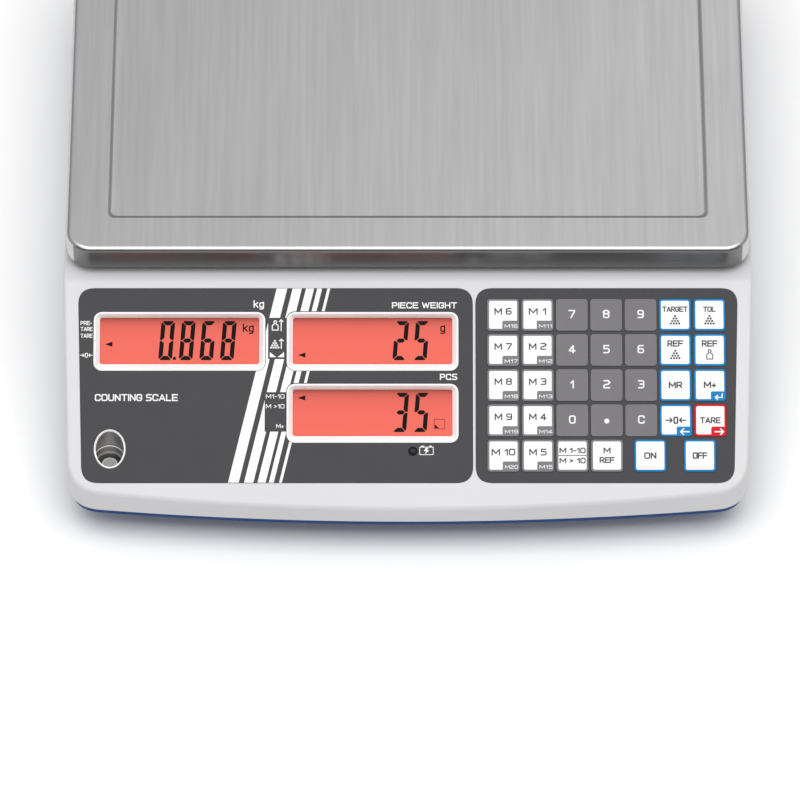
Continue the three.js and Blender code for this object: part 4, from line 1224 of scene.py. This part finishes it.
def readout(text, unit, pointer_y, extra=()):
    """What a display shows: digits from the left place, a point, a unit and a pointer. Blanks are
    spaces."""
    base = DIGIT_LIFT - DIGIT_HEIGHT / 2
    shown = [segments(digit).moved(FIRST_DIGIT + DIGIT_PITCH * place, base)
             for place, digit in enumerate(text.replace(".", "")) if digit != " "]
    if "." in text:
        shown.append(Area(rounded_rectangle(1.6, 1.6, 0.5, FIRST_DIGIT + DIGIT_WIDTH + 1.3, base + 0.9)))
    if unit:
        shown.append(words(unit, 4.3, *UNITS[unit], 8, 0.16))
    shown.append(Area([(-38, pointer_y), (-34.1, pointer_y - 1.3), (-34.1, pointer_y + 1.3)]))
    return shown + list(extra)


def box_sign(x, y):
    """A small open box."""
    frame_line = Area(rounded_rectangle(5.6, 5.2, 0.3, x, y), rounded_rectangle(5.1, 4.7, 0.2, x, y))
    return [frame_line, Area([(x - 2.4, y - 2.2), (x - 0.2, y - 2.2), (x - 2.4, y - 0.2)])]


def screen(display, shown):
    shape = panel_plate(display, 1, 0.2, [(area, 1) for area in shown])
    digit_black = Material(f"{display}_black", (0.004, 0.002, 0.002), 0.6, shine=0.1)
    make(shape, display + "_module", [lit_screen(f"{display}_glow", display), digit_black.made], "base",
         display)


def charge_lamp():
    r, low, side_top, dome = LAMP_RADIUS, LAMP_LOW.z, LAMP_HIGH.z - 0.8, 0.8
    profile = [(0, low), (r, low), (r, side_top)]
    for angle in range(15, 90, 15):
        turn = math.radians(angle)
        profile.append((r * math.cos(turn), side_top + dome * math.sin(turn)))
    lens = Shape().lathe(profile + [(0, LAMP_HIGH.z)], LAMP.x, LAMP.y, 36)
    make(lens.moved(PANEL), "charge_lamp_lens", [LENS], "base", "charge_lamp")


def level_vial():
    """A metal cup with a glass deep inside it: a black ring and the bubble's pale circle. A sleeve
    leads up from the cup to the oval opening."""
    low, high = node_box("level_vial")
    r, top = (high.x - low.x) / 2, high.z
    glass = max(top - VIAL_DEPTH, low.z + 1.5)
    wall, step, rise = 0.6, 1.3, 0.7
    cup = Shape().lathe([(0, low.z), (r, low.z), (r, top - 0.3), (r - 0.3, top), (r - wall, top - 0.1),
                         (r - wall, glass + rise), (r - step, glass - 0.2), (r - step, glass - 1),
                         (0, glass - 1)], LEVEL.x, LEVEL.y, 56)
    make(cup, "level_cup", [CHROME], "base", "level_vial")

    def ring(radius, z, steps=56):
        return at_height(circle(radius, LEVEL.x, LEVEL.y, steps), z)

    reach = r - step - 0.05
    black, pale, grey = range(3)
    bands = [(1, black), (0.85, black), (0.7, black), (0.58, pale), (0.49, grey), (0.25, grey), (0.02, grey)]
    rings = [ring(reach * share, glass - rise * share ** 2) for share, _ in bands]
    dome = Shape()
    for lower, upper, (_, slot) in zip(rings, rings[1:], bands):
        dome.loft([lower, upper], slot)
    dome.surface([(plan(rings[-1]), grey)], rings[-1][0][2])
    bottom = ring(reach, glass - 0.9)
    dome.loft([bottom, rings[0]])
    dome.surface([(plan(bottom)[::-1], black)], glass - 0.9)
    make(dome, "level_glass_dome", VIAL, "base", sharp=60)

    play, sheet = 0.05, 0.25
    corners = ((play, -PANEL_WALL), (play, -0.7), (play + sheet, -0.7), (play + sheet, -PANEL_WALL))
    upper = [on_panel(level_outline(-inset), z) for inset, z in corners]
    lower = [ring(r + 0.1 + grow, top - 1, 64) for grow in (sheet, 0)]
    sleeve = Shape().loft([lower[0], *upper, lower[1]], wrap=True)
    make(sleeve, "level_sleeve", [CHROME], "base", sharp=60)


# ---- electrics ----


def dc_socket():
    x, z, rear = socket_place()
    length = rear - node_box("dc_socket")[0].y
    axis, depth = 0.001, 9.5
    barrel = Shape().lathe([(SOCKET_BORE, 0), (SOCKET_BARREL - 0.4, 0), (SOCKET_BARREL, -0.4),
                            (SOCKET_BARREL, -length), (axis, -length), (axis, -depth),
                            (SOCKET_BORE, -depth)], steps=48)
    pin = Shape().lathe([(0, -9.6), (1, -9.6), (1, -1.6), (0.6, -1.2), (0, -1.1)], steps=24, slot=1)
    make(along_y(barrel.join(pin), x, rear, z), "dc_socket_barrel", [BLACK, ZINC], "base",
         "dc_socket")


CAD_LOOKS = {"battery": BATTERY_CASE, "load_cell": ALUMINIUM, "load_cell_riser": CASTING, "main_board": BOARD,
             "display_board": BOARD}


def dress_cad_nodes():
    for node, material in CAD_LOOKS.items():
        for slot in frame["nodes"][node].material_slots:
            slot.material = material


# ---- camera, floor and light ----

CAMERA_RISE = math.radians(53.5)
CAMERA_DISTANCE = 3.5
FOCAL_LENGTH = 311.0625  # in millimetres, as is the sensor's width
SENSOR = 36
AIM = PANEL @ Vector((-4, 42.8, 0)) * MM  # the point of the panel in the middle of the picture


def aim(thing, target):
    thing.rotation_euler = (Vector(target) - thing.location).to_track_quat("-Z", "Y").to_euler()


def add_camera():
    data = bpy.data.cameras.new("camera")
    data.sensor_width = SENSOR
    data.lens = FOCAL_LENGTH
    data.clip_end = 50
    camera = new_object("camera", data)
    camera.location = AIM + CAMERA_DISTANCE * Vector((0, -math.cos(CAMERA_RISE), math.sin(CAMERA_RISE)))
    aim(camera, AIM)
    bpy.context.scene.camera = camera


def add_floor():
    mesh = bpy.data.meshes.new("floor")
    reach = 6
    mesh.from_pydata([(reach * x, reach * y, 0) for x, y in SQUARE], [], [(0, 1, 2, 3)])
    mesh.materials.append(Material("floor_paper", (0.98, 0.98, 0.98), 0.9).made)
    new_object("floor", mesh)


def add_light(name, location, size, power, target=(0, -0.05, 0.05)):
    data = bpy.data.lights.new(name, "AREA")
    data.shape = "RECTANGLE"
    data.size, data.size_y = size
    data.energy = power
    light = new_object(name, data)
    light.location = location
    aim(light, target)


def add_world(horizon, zenith):
    """An even studio, brighter overhead."""
    world = bpy.data.worlds.new("studio")
    world.use_nodes = True
    tree = world.node_tree
    rise = add_node(tree, "SeparateXYZ", "Z", Vector=add_node(tree, "TexCoord", "Generated"))
    color = add_node(tree, "ValToRGB", "Color", Fac=rise)
    for element, level in zip(color.node.color_ramp.elements, (horizon, zenith)):
        element.color = (level, level, level, 1)
    tree.links.new(color, tree.nodes["Background"].inputs["Color"])
    bpy.context.scene.world = world


add_camera()
add_floor()
add_light("overhead_light", (0, -0.5, 2.2), (2.4, 1.6), 33)
add_light("rear_light", (0.3, 1.5, 2.0), (0.7, 0.7), 0.8)
add_world(0.14, 0.85)
bpy.context.scene.view_settings.view_transform = "Standard"

top_housing()
base_shell()
battery_cover()
weighing_pan()
pan_carrier()
foils()
all_legends = key_legends()
for key in KEYS:
    key_cap(key, *all_legends[key.removeprefix("key_")])
screen("lcd_weight", readout("0.868", "kg", -0.6))
screen("lcd_piece_weight", readout("  25", "g", -6.2))
screen("lcd_count", readout("  35", "", 8.8, box_sign(33.9, -4.7)))
charge_lamp()
level_vial()
for place in FEET:
    foot_pad(place)
    foot_screw(place)
for number, (screw_x, screw_y) in enumerate(SCREWS, 1):
    casing_screw(screw_x, screw_y, f"casing_screw_{number}")
dc_socket()
dress_cad_nodes()
